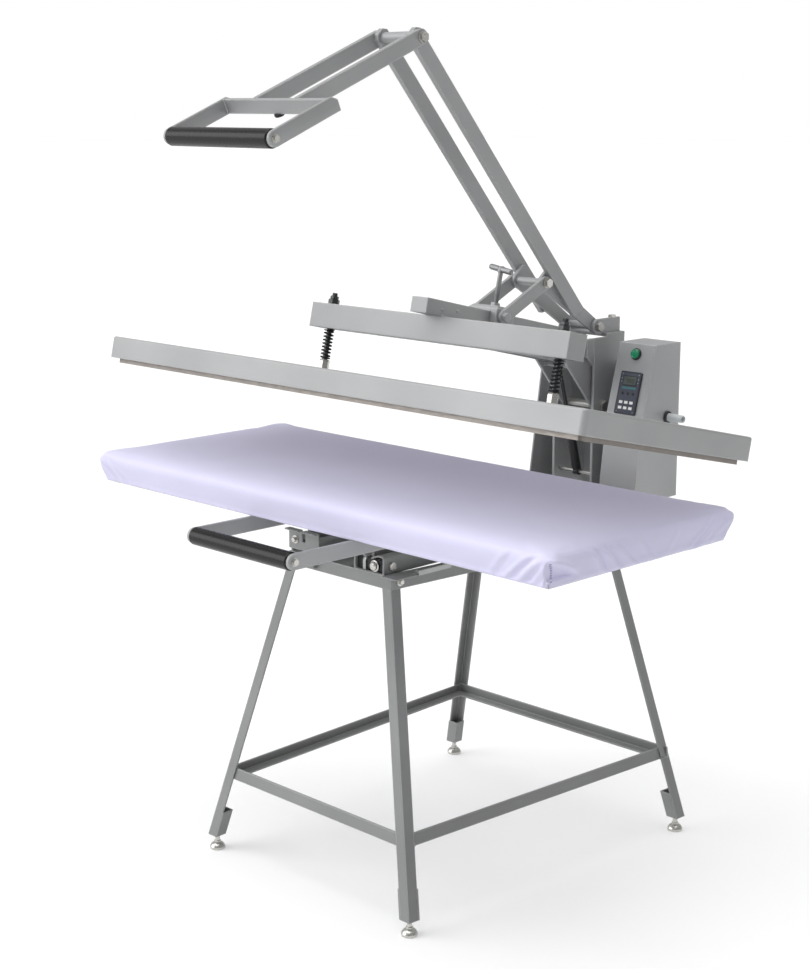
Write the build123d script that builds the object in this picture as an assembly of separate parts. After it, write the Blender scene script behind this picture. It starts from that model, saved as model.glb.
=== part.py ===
from build123d import *
import os
from math import acos, asin, atan2, cos, degrees, hypot, pi, radians, sin, sqrt

# Frame: X to the operator's right, Y away from the operator, Z up, floor at Z = 0, millimetres.
# The stand, column, lever and handle are drawn in the open position shown; the head is drawn
# level, as when closed, and then turned up about its hinge.

# Clearances and shared fastener sizes
fit_gap = 0.05
side_gap = 0.3
overrun = 10.0
pin_radius = 6.0
hex_across = 19.0
hex_height = 8.0
washer_radius = 12.0
washer_height = 2.0
washer_share = 0.62
small_radius = 5.0
small_across = 17.0
small_height = 6.0

# Stand: four splayed angle iron legs, the front pair closer together than the rear pair
angle_size = 26.0
angle_wall = 4.0
leg_bottom_z = 34.0
stand_joint_z = 683.0
stand_top_z = 710.0
front_foot_x = 326.0
front_foot_y = -392.0
front_top_x = 162.0
front_top_y = -283.0
back_foot_x = 375.0
back_foot_y = 467.0
back_top_x = 207.0
back_top_y = 385.0
lower_rail_bottom_z = 176.0

# Shoes that close each leg's lower end to a square tube, and the levelling feet in them
shoe_wall = 3.0
shoe_height = 60.0
shoe_plate = 6.0
foot_radius = 17.5
foot_rim_height = 6.0
foot_rim_chamfer = 1.5
foot_dome_height = 16.0
foot_neck_radius = 7.5
foot_neck_height = 19.0
foot_stem_radius = 5.5
foot_stem_above_plate = 6.0

# Slide housings: rounded tubes with a slot on top whose lips are bent down in a V
housing_width = 90.0
housing_height = 42.0
housing_wall = 3.5
housing_corner = 7.0
housing_centre_x = 100.0
housing_front_y = -287.0
housing_slot_half = 26.0
housing_lip_half = 8.0
housing_lip_drop = 7.0

# Table slide: runner bars on rollers
roller_radius = 13.0
roller_width = 12.0
roller_axle_radius = 5.0
front_roller_y = -265.0
front_roller_above_floor = 2.2
axle_tip_length = 6.0
runner_thickness = 8.0
runner_top_z = 777.0
runner_front_y = -275.0
runner_back_y = 145.0
runner_tail_length = 46.0
runner_tail_clear = 4.5
crossbar_height = 30.0
crossbar_depth = 40.0
crossbar_wall = 3.0
crossbar_half_width = 560.0
front_crossbar_y = -250.0
back_crossbar_y = 60.0

# Table board and padded cover
board_thickness = 11.0
board_half_width = 680.0
board_front_y = -388.0
board_back_y = 148.0
pad_overhang = 20.0
pad_skirt_z = 812.0
pad_widest_z = 838.0
pad_shoulder_z = 863.0
pad_edge_z = 871.0
pad_crown_z = 876.0
pad_bottom_inset = 14.0
pad_shoulder_inset = 5.0
pad_edge_inset = 22.0
pad_crown_inset = 150.0
pad_corner = 38.0

# Handles: grips between flat bars
grip_radius = 19.0
grip_edge = 4.0
grip_half_length = 152.7
grip_rod_radius = 8.0
grip_rod_end_radius = 5.0
handle_bar_thickness = 6.0
handle_bar_depth = 33.0
grip_head_radius = 8.5
grip_head_height = 5.0
grip_cap_share = 0.75
pull_grip_y = -543.0
pull_grip_z = 790.0

# Column: channel with slanted front edges, on top of the slide housings
column_half_width = 119.0
column_wall = 4.0
column_back_y = 595.0
column_top_z = 1056.0
column_foot_front_y = 456.0
column_head_front_y = 501.0

# Hinge post frame inside the column: two plates under one cap
post_inner_x = 56.0
post_thickness = 6.0
post_front_y = 480.0
cap_thickness = 8.0
cap_front_y = 525.0

# Pivots, as Y and Z: head hinge, base pivot of the lever, elbow and knee
hinge_y = 516.0
hinge_z = 962.0
hinge_pin_radius = 10.0
hinge_boss_radius = 18.0
hinge_nut_share = 0.8
base_pivot_y = 504.0
base_pivot_z = 1153.0
elbow_y = 318.0
elbow_z = 1268.0
knee_y = -100.0
knee_z = 1800.0
bracket_radius = 17.0
bracket_inner_x = 44.0
bracket_thickness = 8.0
bracket_back_y = 585.0
bracket_bolt_y = 560.0

# Head, in the closed attitude
head_open_angle = 13.0
beam_half_width = 391.0
beam_front_y = -41.0
beam_depth = 55.0
beam_bottom_z = 1037.5
beam_top_z = 1094.0
beam_wall = 3.5
arm_half_width = 24.0
arm_height = 34.0
arm_front_y = -89.0
arm_back_y = 440.0
arm_wall = 3.0
spine_half_width = 42.0
spine_bottom_z = 1046.0
spine_back_y = 430.0
spine_wall = 4.0
gusset_thickness = 6.0
gusset_front_y = 372.0
gusset_lower_z = 1046.0
gusset_top_back_y = 474.0
gusset_step = 4.0
gusset_tangent_share = 0.72

# Trunnion block on the arm and the pressure screw in it, closed attitude
trunnion_y = 133.0
trunnion_z = 1119.0
trunnion_half_width = 43.0
trunnion_front_y = 113.0
trunnion_back_y = 172.0
trunnion_skirt_z = 1104.0
trunnion_bridge = 14.0
trunnion_chamfer = 7.0
screw_y = 152.0
screw_radius = 4.5
screw_bar_z = 1228.0
screw_bar_radius = 5.5
screw_bar_half_length = 40.0

# Platen: tray, insulation and heating plate, closed attitude
tray_half_width = 716.0
tray_front_y = -352.0
tray_back_y = 185.0
tray_bottom_z = 891.5
tray_top_z = 941.0
tray_wall = 2.0
tray_corner = 12.0
tray_edge = 5.0
plate_inset = 16.0
plate_bottom_z = 882.0
plate_thickness = 12.0
plate_corner = 8.0

# Spring bolts between platen and cross beam
spring_bolt_x = 350.0
socket_flange_radius = 17.0
socket_flange_height = 3.0
socket_radius = 11.5
socket_height = 25.0
bolt_tip = 5.0
wire_radius = 1.55
spring_outer_radius = 12.0
spring_half_turns = 19
end_coil_pitch = 3.8
coil_samples_per_turn = 24
jam_nut_turn = 30.0

# Lever linkage, half widths from the centre plane outwards
link_inner_x = 35.0
link_thickness = 8.0
link_radius = 15.0
base_eye_radius = 16.0
long_arm_thickness = 12.0
long_arm_depth = 36.0
long_arm_clip = 9.0
long_arm_tail = 133.7
elbow_arm_gap = 1.65
spacer_radius = 9.0
knee_spacer_radius = 12.0

# Upper handle: fork bars from the knee, cross flat, side bars, grip
handle_drop_angle = 22.4
handle_length = 514.85
fork_thickness = 12.0
cross_flat_reach = 358.0
cross_flat_thickness = 8.0
cross_flat_height = 30.0
side_bar_start = 301.0
side_bar_clip = 10.0
bumper_radius = 10.0
bumper_height = 14.0

# Counterbalance gas strut between the posts and the head
strut_foot_y = 500.0
strut_foot_z = 800.0
strut_head_y = 405.0
strut_head_z = 1040.0
strut_radius = 11.0
strut_length = 150.0
strut_rod_radius = 5.0
strut_eye_radius = 9.0
strut_eye_half_width = 7.0
strut_pin_radius = 4.0
strut_bore_spare = 30.0

# Control box on the column's right side
box_right_x = 225.0
box_wall = 2.0
box_top_z = 1124.0
box_bottom_z = 760.0
box_top_front_y = 505.0
box_kink_y = 460.0
box_kink_z = 961.0
box_bottom_front_y = 435.0

# Controller, keys, lamp and cable gland; places along the slanted front from its upper edge
controller_width = 60.0
controller_height = 100.0
controller_proud = 4.0
controller_depth = 28.0
controller_edge = 4.0
controller_lip = 3.0
controller_from_top = 117.0
control_centre_x = 172.0
lamp_from_top = 25.0
lamp_bezel_radius = 14.0
lamp_bezel_height = 4.0
lamp_stem_radius = 10.0
lamp_stem_length = 18.0
lamp_lens_radius = 11.0
lamp_lens_height = 8.0
key_rows = 2
key_columns = 3
key_width = 10.0
key_height = 7.0
key_column_pitch = 15.0
key_row_pitch = 13.0
key_rows_from_centre = 22.0
key_pocket_depth = 2.5
key_floor_gap = 0.9
key_proud = 1.2
key_side_gap = 0.25
gland_y = 551.0
gland_z = 953.0
gland_flange_radius = 14.0
gland_flange_height = 5.0
gland_pipe_radius = 8.0
gland_pipe_length = 42.0
gland_bore_radius = 5.5

# Worked out places
housing_floor_z = stand_top_z + housing_wall
housing_top_z = stand_top_z + housing_height
front_roller_z = housing_floor_z + front_roller_above_floor + roller_radius
rear_roller_y = runner_back_y - runner_tail_length / 2
rear_roller_z = housing_floor_z + side_gap + roller_radius
runner_bottom_z = front_roller_z + roller_radius + side_gap
crossbar_top_z = runner_top_z + crossbar_height
board_top_z = crossbar_top_z + board_thickness
post_outer_x = post_inner_x + post_thickness
post_top_z = base_pivot_z - bracket_radius - cap_thickness
arm_top_z = beam_top_z + arm_height
plate_top_z = plate_bottom_z + plate_thickness
socket_top_z = tray_top_z + socket_height
beam_centre_y = beam_front_y + beam_depth / 2
link_outer_x = link_inner_x + link_thickness
forward_inner_x = link_outer_x + side_gap
forward_outer_x = forward_inner_x + link_thickness
long_arm_outer_x = link_outer_x + long_arm_thickness
fork_inner_x = long_arm_outer_x + side_gap
fork_outer_x = fork_inner_x + fork_thickness
side_bar_inner_x = grip_half_length + side_gap
side_bar_outer_x = side_bar_inner_x + handle_bar_thickness
head_hinge = Axis((0, hinge_y, hinge_z), (1, 0, 0))


# Shared builders

def slab(outline, low_x, high_x):
    """Plate cut from an outline in Y and Z, between two X values."""
    return extrude(Plane.YZ.offset(low_x) * outline, amount=high_x - low_x)


def both(solid):
    """A solid and its mirror image on the other side of the centre plane."""
    return Compound(children=[solid, mirror(solid, about=Plane.YZ)])


def block(low, high):
    """Box between two corners."""
    size = [b - a for a, b in zip(low, high)]
    return Pos(*[(a + b) / 2 for a, b in zip(low, high)]) * Box(*size)


def flat_outline(*points):
    """Closed outline of straight edges."""
    return make_face(Polyline(*points, close=True))


def capsule(start, end, radius):
    """Outline of a bar with round ends about two centres."""
    run = (end[0] - start[0], end[1] - start[1])
    length = hypot(*run)
    side = (-run[1] / length * radius, run[0] / length * radius)
    bar = flat_outline(
        (start[0] + side[0], start[1] + side[1]),
        (end[0] + side[0], end[1] + side[1]),
        (end[0] - side[0], end[1] - side[1]),
        (start[0] - side[0], start[1] - side[1]),
    )
    return bar + Pos(*start) * Circle(radius) + Pos(*end) * Circle(radius)


def cross_rod(y, z, radius, low_x, high_x):
    """Round rod along X."""
    return Pos(low_x, y, z) * Rot(0, 90, 0) * Cylinder(
        radius, high_x - low_x, align=(Align.CENTER, Align.CENTER, Align.MIN)
    )


def upright(radius, low, high):
    """Round rod along Z about the origin."""
    return Pos(0, 0, low) * Cylinder(radius, high - low, align=(Align.CENTER, Align.CENTER, Align.MIN))


def hex_prism(across, height):
    """Hexagon nut or head on the XY plane."""
    return extrude(RegularPolygon(across / 2, 6, major_radius=False), amount=height)


def cross_bolt(y, z, radius, half_length, across, height):
    """Bolt along X with a washer and hexagon at each end of a centred stack."""
    reach = half_length + washer_height
    body = cross_rod(y, z, radius, -reach, reach)
    end = cross_rod(y, z, across * washer_share, half_length, reach)
    end += Pos(reach, y, z) * Rot(0, 90, 0) * hex_prism(across, height)
    return body + end + mirror(end, about=Plane.YZ)


def largest(shape):
    """The main piece that a coped joint leaves."""
    return max(shape.solids(), key=lambda solid: solid.volume)


def open_head(shape):
    """Turns a piece of the head from the closed attitude to the open one."""
    return shape.rotate(head_hinge, -head_open_angle)


# Stand

class Leg:
    """Outer ridge of one splayed leg, with the directions of its two flanges."""

    def __init__(self, side, foot_x, foot_y, top_x, top_y, other_x, other_y):
        self.foot = Vector(side * foot_x, foot_y, leg_bottom_z)
        self.top = Vector(side * top_x, top_y, stand_joint_z)
        self.run = (self.top - self.foot).normalized()
        self.inward = Vector(-side, 0, 0)
        self.along = Vector(side * other_x - side * foot_x, other_y - foot_y, 0).normalized()

    def at(self, z):
        """Point of the ridge at a height."""
        return self.foot + self.run * ((z - leg_bottom_z) / self.run.Z)


front_leg_sizes = (front_foot_x, front_foot_y, front_top_x, front_top_y, back_foot_x, back_foot_y)
back_leg_sizes = (back_foot_x, back_foot_y, back_top_x, back_top_y, front_foot_x, front_foot_y)
legs = {
    "front_left": Leg(-1, *front_leg_sizes),
    "front_right": Leg(1, *front_leg_sizes),
    "back_left": Leg(-1, *back_leg_sizes),
    "back_right": Leg(1, *back_leg_sizes),
}


def angle_bar(start, end, arm_one, arm_two, size_one, size_two, wall):
    """Angle section with its outer corner on a line, its flanges along two directions."""
    a = arm_one.normalized()
    b = arm_two.normalized()
    points = [
        start,
        start + a * size_one,
        start + a * size_one + b * wall,
        start + a * wall + b * wall,
        start + a * wall + b * size_two,
        start + b * size_two,
    ]
    run = end - start
    return extrude(Face(Wire.make_polygon(points, close=True)), amount=run.length, dir=run.normalized())


def leg_iron(leg):
    """One leg."""
    return angle_bar(leg.foot, leg.top, leg.inward, leg.along, angle_size, angle_size, angle_wall)


def box_centre(leg, z):
    """Centre of the square that the leg and its shoe close, at a height."""
    half = (angle_size + shoe_wall) / 2
    return leg.at(z) + leg.inward * half + leg.along * half


def leg_shoe(leg):
    """Angle that closes the leg's open side, with a threaded plate across its bottom."""
    outer = angle_size + shoe_wall
    corner = leg.foot + leg.inward * outer + leg.along * outer
    up = leg.run * (shoe_height / leg.run.Z)
    shell = angle_bar(corner, corner + up, -leg.inward, -leg.along, outer, outer, shoe_wall)
    near = leg.foot + leg.inward * angle_wall + leg.along * angle_wall
    width = angle_size - angle_wall
    floor = Face(
        Wire.make_polygon(
            [
                near,
                near + leg.inward * width,
                near + leg.inward * width + leg.along * width,
                near + leg.along * width,
            ],
            close=True,
        )
    )
    floor = extrude(floor, amount=shoe_plate / leg.run.Z, dir=leg.run)
    centre = box_centre(leg, leg_bottom_z + shoe_plate / 2)
    hole = Pos(centre.X, centre.Y, 0) * upright(foot_stem_radius + fit_gap, 0, leg_bottom_z + shoe_height)
    return shell + floor - hole


def levelling_foot(leg):
    """Turned foot with a domed pad and a threaded stem."""
    stem_top = leg_bottom_z + shoe_plate + foot_stem_above_plate
    outline = [
        Line((0, 0), (foot_radius - foot_rim_chamfer, 0)),
        Line((foot_radius - foot_rim_chamfer, 0), (foot_radius, foot_rim_chamfer)),
        Line((foot_radius, foot_rim_chamfer), (foot_radius, foot_rim_height)),
        RadiusArc((foot_radius, foot_rim_height), (foot_neck_radius, foot_dome_height), -foot_radius),
        Line((foot_neck_radius, foot_dome_height), (foot_neck_radius, foot_neck_height)),
        Line((foot_neck_radius, foot_neck_height), (foot_stem_radius, foot_neck_height)),
        Line((foot_stem_radius, foot_neck_height), (foot_stem_radius, stem_top)),
        Line((foot_stem_radius, stem_top), (0, stem_top)),
        Line((0, stem_top), (0, 0)),
    ]
    foot = revolve(Plane.XZ * make_face(outline), Axis.Z)
    centre = box_centre(leg, leg_bottom_z + shoe_plate / 2)
    return Pos(centre.X, centre.Y, 0) * foot


def lower_rail(leg_one, leg_two, irons, inward):
    """Angle rail between two legs, its upright flange against the insides of their flanges."""
    start = leg_one.at(lower_rail_bottom_z) + inward * angle_wall
    end = leg_two.at(lower_rail_bottom_z) + inward * angle_wall
    run = (end - start).normalized()
    up = leg_one.run - run * leg_one.run.dot(run)
    rail = angle_bar(start, end, up, inward, angle_size, angle_size, angle_wall)
    for iron in irons:
        rail -= iron
    return largest(rail)


def lower_rails(irons):
    """Front, back and side rails, the side ones coped to the ends of the others."""
    one = legs["front_left"]
    two = legs["front_right"]
    three = legs["back_left"]
    four = legs["back_right"]
    all_irons = list(irons.values())
    front = lower_rail(one, two, all_irons, Vector(0, 1, 0))
    back = lower_rail(three, four, all_irons, Vector(0, -1, 0))
    left = lower_rail(one, three, all_irons + [front, back], Vector(1, 0, 0))
    right = lower_rail(two, four, all_irons + [front, back], Vector(-1, 0, 0))
    return Compound(children=[front, back, left, right])


def top_rails():
    """Top frame of angle rails whose outer faces carry on the legs' faces."""
    height = stand_top_z - stand_joint_z
    corner = {name: leg.top + Vector(0, 0, height) for name, leg in legs.items()}
    down = Vector(0, 0, -1)

    def rail(one, two, inward):
        return angle_bar(corner[one], corner[two], down, inward, height, angle_size, angle_wall)

    front = rail("front_left", "front_right", Vector(0, 1, 0))
    back = rail("back_left", "back_right", Vector(0, -1, 0))
    left = largest(rail("front_left", "back_left", Vector(1, 0, 0)) - front - back)
    right = largest(rail("front_right", "back_right", Vector(-1, 0, 0)) - front - back)
    return Compound(children=[front, back, left, right])


# Slide housings and rollers

def slide_housing():
    """Right slide housing: rounded tube whose slotted top has lips bent down in a V."""
    mid_z = stand_top_z + housing_height / 2
    at = Pos(housing_centre_x, mid_z)
    inner_width = housing_width - 2 * housing_wall
    inner_height = housing_height - 2 * housing_wall
    inner_corner = housing_corner - housing_wall
    outline = at * RectangleRounded(housing_width, housing_height, housing_corner)
    outline -= at * RectangleRounded(inner_width, inner_height, inner_corner)
    outline -= Pos(housing_centre_x, housing_top_z) * Rectangle(2 * housing_slot_half, 2 * housing_wall)
    under_z = housing_top_z - housing_wall
    for side in (-1, 1):
        outer_x = housing_centre_x + side * housing_slot_half
        inner_x = housing_centre_x + side * housing_lip_half
        outline += flat_outline(
            (outer_x, housing_top_z),
            (inner_x, housing_top_z - housing_lip_drop),
            (inner_x, under_z - housing_lip_drop),
            (outer_x, under_z),
        )
    tube = extrude(Plane.XZ * outline, amount=housing_front_y - column_back_y)
    tube = Pos(0, housing_front_y, 0) * tube
    hole = cross_rod(
        front_roller_y, front_roller_z, roller_axle_radius + fit_gap,
        housing_centre_x + housing_slot_half, housing_centre_x + housing_width,
    )
    return tube - hole


def front_roller():
    """Right front roller, which carries the runner from below."""
    half = roller_width / 2
    wheel = cross_rod(
        front_roller_y, front_roller_z, roller_radius, housing_centre_x - half, housing_centre_x + half
    )
    return wheel - cross_rod(
        front_roller_y, front_roller_z, roller_axle_radius + fit_gap,
        housing_centre_x - roller_width, housing_centre_x + roller_width,
    )


def front_axle():
    """Right front roller's axle bolt, through the housing's outer wall."""
    outer_x = housing_centre_x + housing_width / 2
    tip_x = housing_centre_x - roller_width / 2 - side_gap
    axle = cross_rod(front_roller_y, front_roller_z, roller_axle_radius, tip_x - axle_tip_length, outer_x)
    axle += cross_rod(front_roller_y, front_roller_z, grip_head_radius, tip_x - axle_tip_length, tip_x)
    shoulder_x = housing_centre_x + roller_width / 2 + side_gap
    axle += cross_rod(
        front_roller_y, front_roller_z, grip_head_radius, shoulder_x, outer_x - housing_wall
    )
    head = Rot(0, 90, 0) * hex_prism(small_across, small_height)
    return axle + Pos(outer_x, front_roller_y, front_roller_z) * head


def rear_roller():
    """Right rear roller, which runs on the housing's floor."""
    inner_x = housing_centre_x + runner_thickness / 2 + side_gap
    outer_x = inner_x + roller_width
    wheel = cross_rod(rear_roller_y, rear_roller_z, roller_radius, inner_x, outer_x)
    return wheel - cross_rod(
        rear_roller_y, rear_roller_z, roller_axle_radius + fit_gap, inner_x - overrun, outer_x + overrun
    )


# Table

def runner():
    """Right runner bar, with a tail that holds the rear roller's stub axle."""
    half = runner_thickness / 2
    low_x = housing_centre_x - half
    high_x = housing_centre_x + half
    bar = block((low_x, runner_front_y, runner_bottom_z), (high_x, runner_back_y, runner_top_z))
    tail_front_y = runner_back_y - runner_tail_length
    tail_bottom_z = housing_floor_z + runner_tail_clear
    bar += block((low_x, tail_front_y, tail_bottom_z), (high_x, runner_back_y, runner_bottom_z))
    tip_x = high_x + side_gap + roller_width + side_gap
    bar += cross_rod(rear_roller_y, rear_roller_z, roller_axle_radius, high_x, tip_x)
    return bar + cross_rod(rear_roller_y, rear_roller_z, grip_head_radius, tip_x, tip_x + axle_tip_length)


def crossbar(centre_y):
    """Channel across the runners, open below, under the board."""
    half = crossbar_depth / 2
    low = (-crossbar_half_width, centre_y - half, runner_top_z)
    high = (crossbar_half_width, centre_y + half, crossbar_top_z)
    inner = half - crossbar_wall
    hollow_low = (-crossbar_half_width - overrun, centre_y - inner, runner_top_z - overrun)
    hollow_high = (crossbar_half_width + overrun, centre_y + inner, crossbar_top_z - crossbar_wall)
    return block(low, high) - block(hollow_low, hollow_high)


def table_frame():
    """Runners and crossbars."""
    right = runner()
    left = mirror(right, about=Plane.YZ)
    return Compound(children=[right, left, crossbar(front_crossbar_y), crossbar(back_crossbar_y)])


def table_board():
    """Board that the pad lies on."""
    return block(
        (-board_half_width, board_front_y, crossbar_top_z), (board_half_width, board_back_y, board_top_z)
    )


def table_pad():
    """Padded cover, drawn in under the board's edge, with a low crown."""
    mid_y = (board_front_y + board_back_y) / 2
    width = 2 * (board_half_width + pad_overhang)
    depth = board_back_y - board_front_y + 2 * pad_overhang
    levels = [
        (pad_skirt_z, pad_bottom_inset),
        (pad_widest_z, 0),
        (pad_shoulder_z, pad_shoulder_inset),
        (pad_edge_z, pad_edge_inset),
        (pad_crown_z, pad_crown_inset),
    ]
    sections = [
        Pos(0, mid_y, z) * RectangleRounded(width - 2 * inset, depth - 2 * inset, pad_corner)
        for z, inset in levels
    ]
    pad = loft(sections, ruled=True)
    pocket = block(
        (-board_half_width - side_gap, board_front_y - side_gap, pad_skirt_z - overrun),
        (board_half_width + side_gap, board_back_y + side_gap, board_top_z),
    )
    return pad - pocket


# Handles

def grip(y, z):
    """Round grip sleeve that turns on its rod."""
    sleeve = cross_rod(y, z, grip_radius, -grip_half_length, grip_half_length)
    ends = sleeve.edges().filter_by(GeomType.CIRCLE)
    sleeve = fillet(ends, grip_edge)
    return sleeve - cross_rod(y, z, grip_rod_radius + fit_gap, -side_bar_outer_x, side_bar_outer_x)


def grip_rod(y, z):
    """Rod through a grip, with stepped ends and bolt heads outside the bars."""
    rod = cross_rod(y, z, grip_rod_radius, -side_bar_inner_x, side_bar_inner_x)
    rod += cross_rod(y, z, grip_rod_end_radius, -side_bar_outer_x, side_bar_outer_x)
    head_x = side_bar_outer_x + washer_height
    head = cross_rod(y, z, grip_head_radius, side_bar_outer_x, head_x)
    head += cross_rod(y, z, grip_head_radius * grip_cap_share, head_x, head_x + grip_head_height)
    return rod + head + mirror(head, about=Plane.YZ)


def pull_bar():
    """Right bar of the table's pull handle, butted against the front crossbar."""
    half = handle_bar_depth / 2
    butt_y = front_crossbar_y - crossbar_depth / 2
    outline = Pos(pull_grip_y, pull_grip_z) * Circle(half)
    outline += flat_outline(
        (pull_grip_y, pull_grip_z - half),
        (butt_y, pull_grip_z - half),
        (butt_y, pull_grip_z + half),
        (pull_grip_y, pull_grip_z + half),
    )
    outline -= Pos(pull_grip_y, pull_grip_z) * Circle(grip_rod_end_radius + fit_gap)
    return slab(outline, side_bar_inner_x, side_bar_outer_x)


def handle_point(reach, height):
    """Y and Z of a point in the upper handle's own frame, from the knee along its bars."""
    drop = radians(handle_drop_angle)
    y = knee_y - reach * cos(drop) - height * sin(drop)
    z = knee_z - reach * sin(drop) + height * cos(drop)
    return (y, z)


def handle_outline(*points):
    """Straight-edged outline in the upper handle's own frame."""
    return flat_outline(*[handle_point(*point) for point in points])


def fork_bar():
    """Right fork bar, from the knee to the cross flat."""
    half = handle_bar_depth / 2
    outline = Pos(knee_y, knee_z) * Circle(half)
    outline += handle_outline((0, -half), (cross_flat_reach, -half), (cross_flat_reach, half), (0, half))
    outline -= Pos(knee_y, knee_z) * Circle(pin_radius + fit_gap)
    return slab(outline, fork_inner_x, fork_outer_x)


def cross_flat():
    """Flat that joins the fork bars to the side bars."""
    half = cross_flat_height / 2
    far = cross_flat_reach + cross_flat_thickness
    outline = handle_outline((cross_flat_reach, -half), (far, -half), (far, half), (cross_flat_reach, half))
    return slab(outline, -side_bar_inner_x, side_bar_inner_x)


def side_bar():
    """Right side bar of the upper handle, clipped at its rear corners and round at the grip."""
    half = handle_bar_depth / 2
    start = side_bar_start
    clip = side_bar_clip
    eye = handle_point(handle_length, 0)
    outline = handle_outline(
        (start, -half + clip),
        (start + clip, -half),
        (handle_length, -half),
        (handle_length, half),
        (start + clip, half),
        (start, half - clip),
    )
    outline += Pos(*eye) * Circle(half)
    outline -= Pos(*eye) * Circle(grip_rod_end_radius + fit_gap)
    return slab(outline, side_bar_inner_x, side_bar_outer_x)


def bumper():
    """Round rubber bumper under the middle of the cross flat."""
    top = handle_point(cross_flat_reach + cross_flat_thickness / 2, -cross_flat_height / 2)
    plug = upright(bumper_radius, -bumper_height, 0)
    return Pos(0, *top) * Rot(handle_drop_angle, 0, 0) * plug


# Column

def column_front_y(z):
    """Y of the column's slanted front edge at a height."""
    share = (z - housing_top_z) / (column_top_z - housing_top_z)
    return column_foot_front_y + (column_head_front_y - column_foot_front_y) * share


def column_side():
    """Right side plate."""
    back = column_back_y - column_wall
    outline = flat_outline(
        (column_front_y(housing_top_z), housing_top_z),
        (back, housing_top_z),
        (back, column_top_z),
        (column_front_y(column_top_z), column_top_z),
    )
    return slab(outline, column_half_width - column_wall, column_half_width)


def column_back():
    """Back plate."""
    return block(
        (-column_half_width, column_back_y - column_wall, housing_top_z),
        (column_half_width, column_back_y, column_top_z),
    )


def post_frame():
    """Bent plate frame that carries the head hinge and the lever's brackets."""
    back = column_back_y - column_wall
    post = block((post_inner_x, post_front_y, housing_top_z), (post_outer_x, back, post_top_z))
    cap = block((-post_outer_x, cap_front_y, post_top_z), (post_outer_x, back, post_top_z + cap_thickness))
    frame = post + mirror(post, about=Plane.YZ) + cap
    reach = post_outer_x
    frame -= cross_rod(hinge_y, hinge_z, hinge_pin_radius + fit_gap, -reach, reach)
    return frame - cross_rod(strut_foot_y, strut_foot_z, strut_pin_radius + fit_gap, -reach, reach)


def pivot_bracket():
    """Right bracket block of the base pivot, round at its front end."""
    low = base_pivot_z - bracket_radius
    high = base_pivot_z + bracket_radius
    outline = Pos(base_pivot_y, base_pivot_z) * Circle(bracket_radius)
    outline += flat_outline(
        (base_pivot_y, low), (bracket_back_y, low), (bracket_back_y, high), (base_pivot_y, high)
    )
    outline -= Pos(base_pivot_y, base_pivot_z) * Circle(pin_radius + fit_gap)
    return slab(outline, bracket_inner_x, bracket_inner_x + bracket_thickness)


def frame_pins():
    """Base pivot bolt, head hinge pin and the strut's lower pin."""
    base = cross_bolt(
        base_pivot_y, base_pivot_z, pin_radius, bracket_inner_x + bracket_thickness, hex_across, hex_height
    )
    hinge_across = 2 * hinge_boss_radius * hinge_nut_share
    hinge = cross_bolt(hinge_y, hinge_z, hinge_pin_radius, post_outer_x, hinge_across, hex_height)
    strut = cross_rod(strut_foot_y, strut_foot_z, strut_pin_radius, -post_outer_x, post_outer_x)
    return Compound(children=[base, hinge, strut])


def frame_bolts():
    """Front roller axles and the bracket bolts."""
    axle = front_axle()
    x = bracket_inner_x + bracket_thickness / 2
    head = Pos(x, bracket_bolt_y, base_pivot_z + bracket_radius) * hex_prism(small_across, small_height)
    return Compound(children=[axle, mirror(axle, about=Plane.YZ), head, mirror(head, about=Plane.YZ)])


# Head, drawn in the closed attitude

def cross_beam():
    """Box beam with closed ends, and holes for the spring bolts."""
    low = (-beam_half_width, beam_front_y, beam_bottom_z)
    high = (beam_half_width, beam_front_y + beam_depth, beam_top_z)
    inner_low = [value + beam_wall for value in low]
    inner_high = [value - beam_wall for value in high]
    beam = block(low, high) - block(inner_low, inner_high)
    for side in (-1, 1):
        at = Pos(side * spring_bolt_x, beam_centre_y, 0)
        beam -= at * upright(pin_radius + fit_gap, beam_bottom_z - overrun, beam_top_z + overrun)
    return beam


def centre_arm():
    """Tube along the head, on top of the cross beam and spine."""
    low = (-arm_half_width, arm_front_y, beam_top_z)
    high = (arm_half_width, arm_back_y, arm_top_z)
    inner_low = [value + arm_wall for value in low]
    inner_high = (arm_half_width - arm_wall, arm_back_y + overrun, arm_top_z - arm_wall)
    return block(low, high) - block(inner_low, inner_high)


def head_spine():
    """Channel, open below, from the cross beam back to the gussets."""
    front = beam_front_y + beam_depth
    low = (-spine_half_width, front, spine_bottom_z)
    high = (spine_half_width, spine_back_y, beam_top_z)
    inner = spine_half_width - spine_wall
    inner_low = (-inner, front - overrun, spine_bottom_z - overrun)
    inner_high = (inner, spine_back_y + overrun, beam_top_z - spine_wall)
    return block(low, high) - block(inner_low, inner_high)


def head_gusset():
    """Right gusset, from the spine's side down to the hinge, with the strut's stub pin."""
    boss_low_y = hinge_y - hinge_boss_radius * gusset_tangent_share
    boss_low_z = hinge_z - hinge_boss_radius * gusset_tangent_share
    outline = flat_outline(
        (gusset_front_y, beam_top_z - gusset_step),
        (gusset_front_y, gusset_lower_z),
        (boss_low_y, boss_low_z),
        (hinge_y + hinge_boss_radius, hinge_z),
        (gusset_top_back_y, beam_top_z - gusset_step),
    )
    eye = Pos(hinge_y, hinge_z) * Circle(hinge_boss_radius)
    bore = Pos(hinge_y, hinge_z) * Circle(hinge_pin_radius + fit_gap)
    inner_x = spine_half_width
    plate = slab(outline + eye - bore, inner_x, inner_x + gusset_thickness)
    boss = slab(eye - bore, inner_x + gusset_thickness, post_inner_x - side_gap)
    stub_x = strut_eye_half_width + side_gap
    stub = cross_rod(strut_head_y, strut_head_z, strut_pin_radius, stub_x, inner_x)
    return plate + boss + stub


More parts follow.
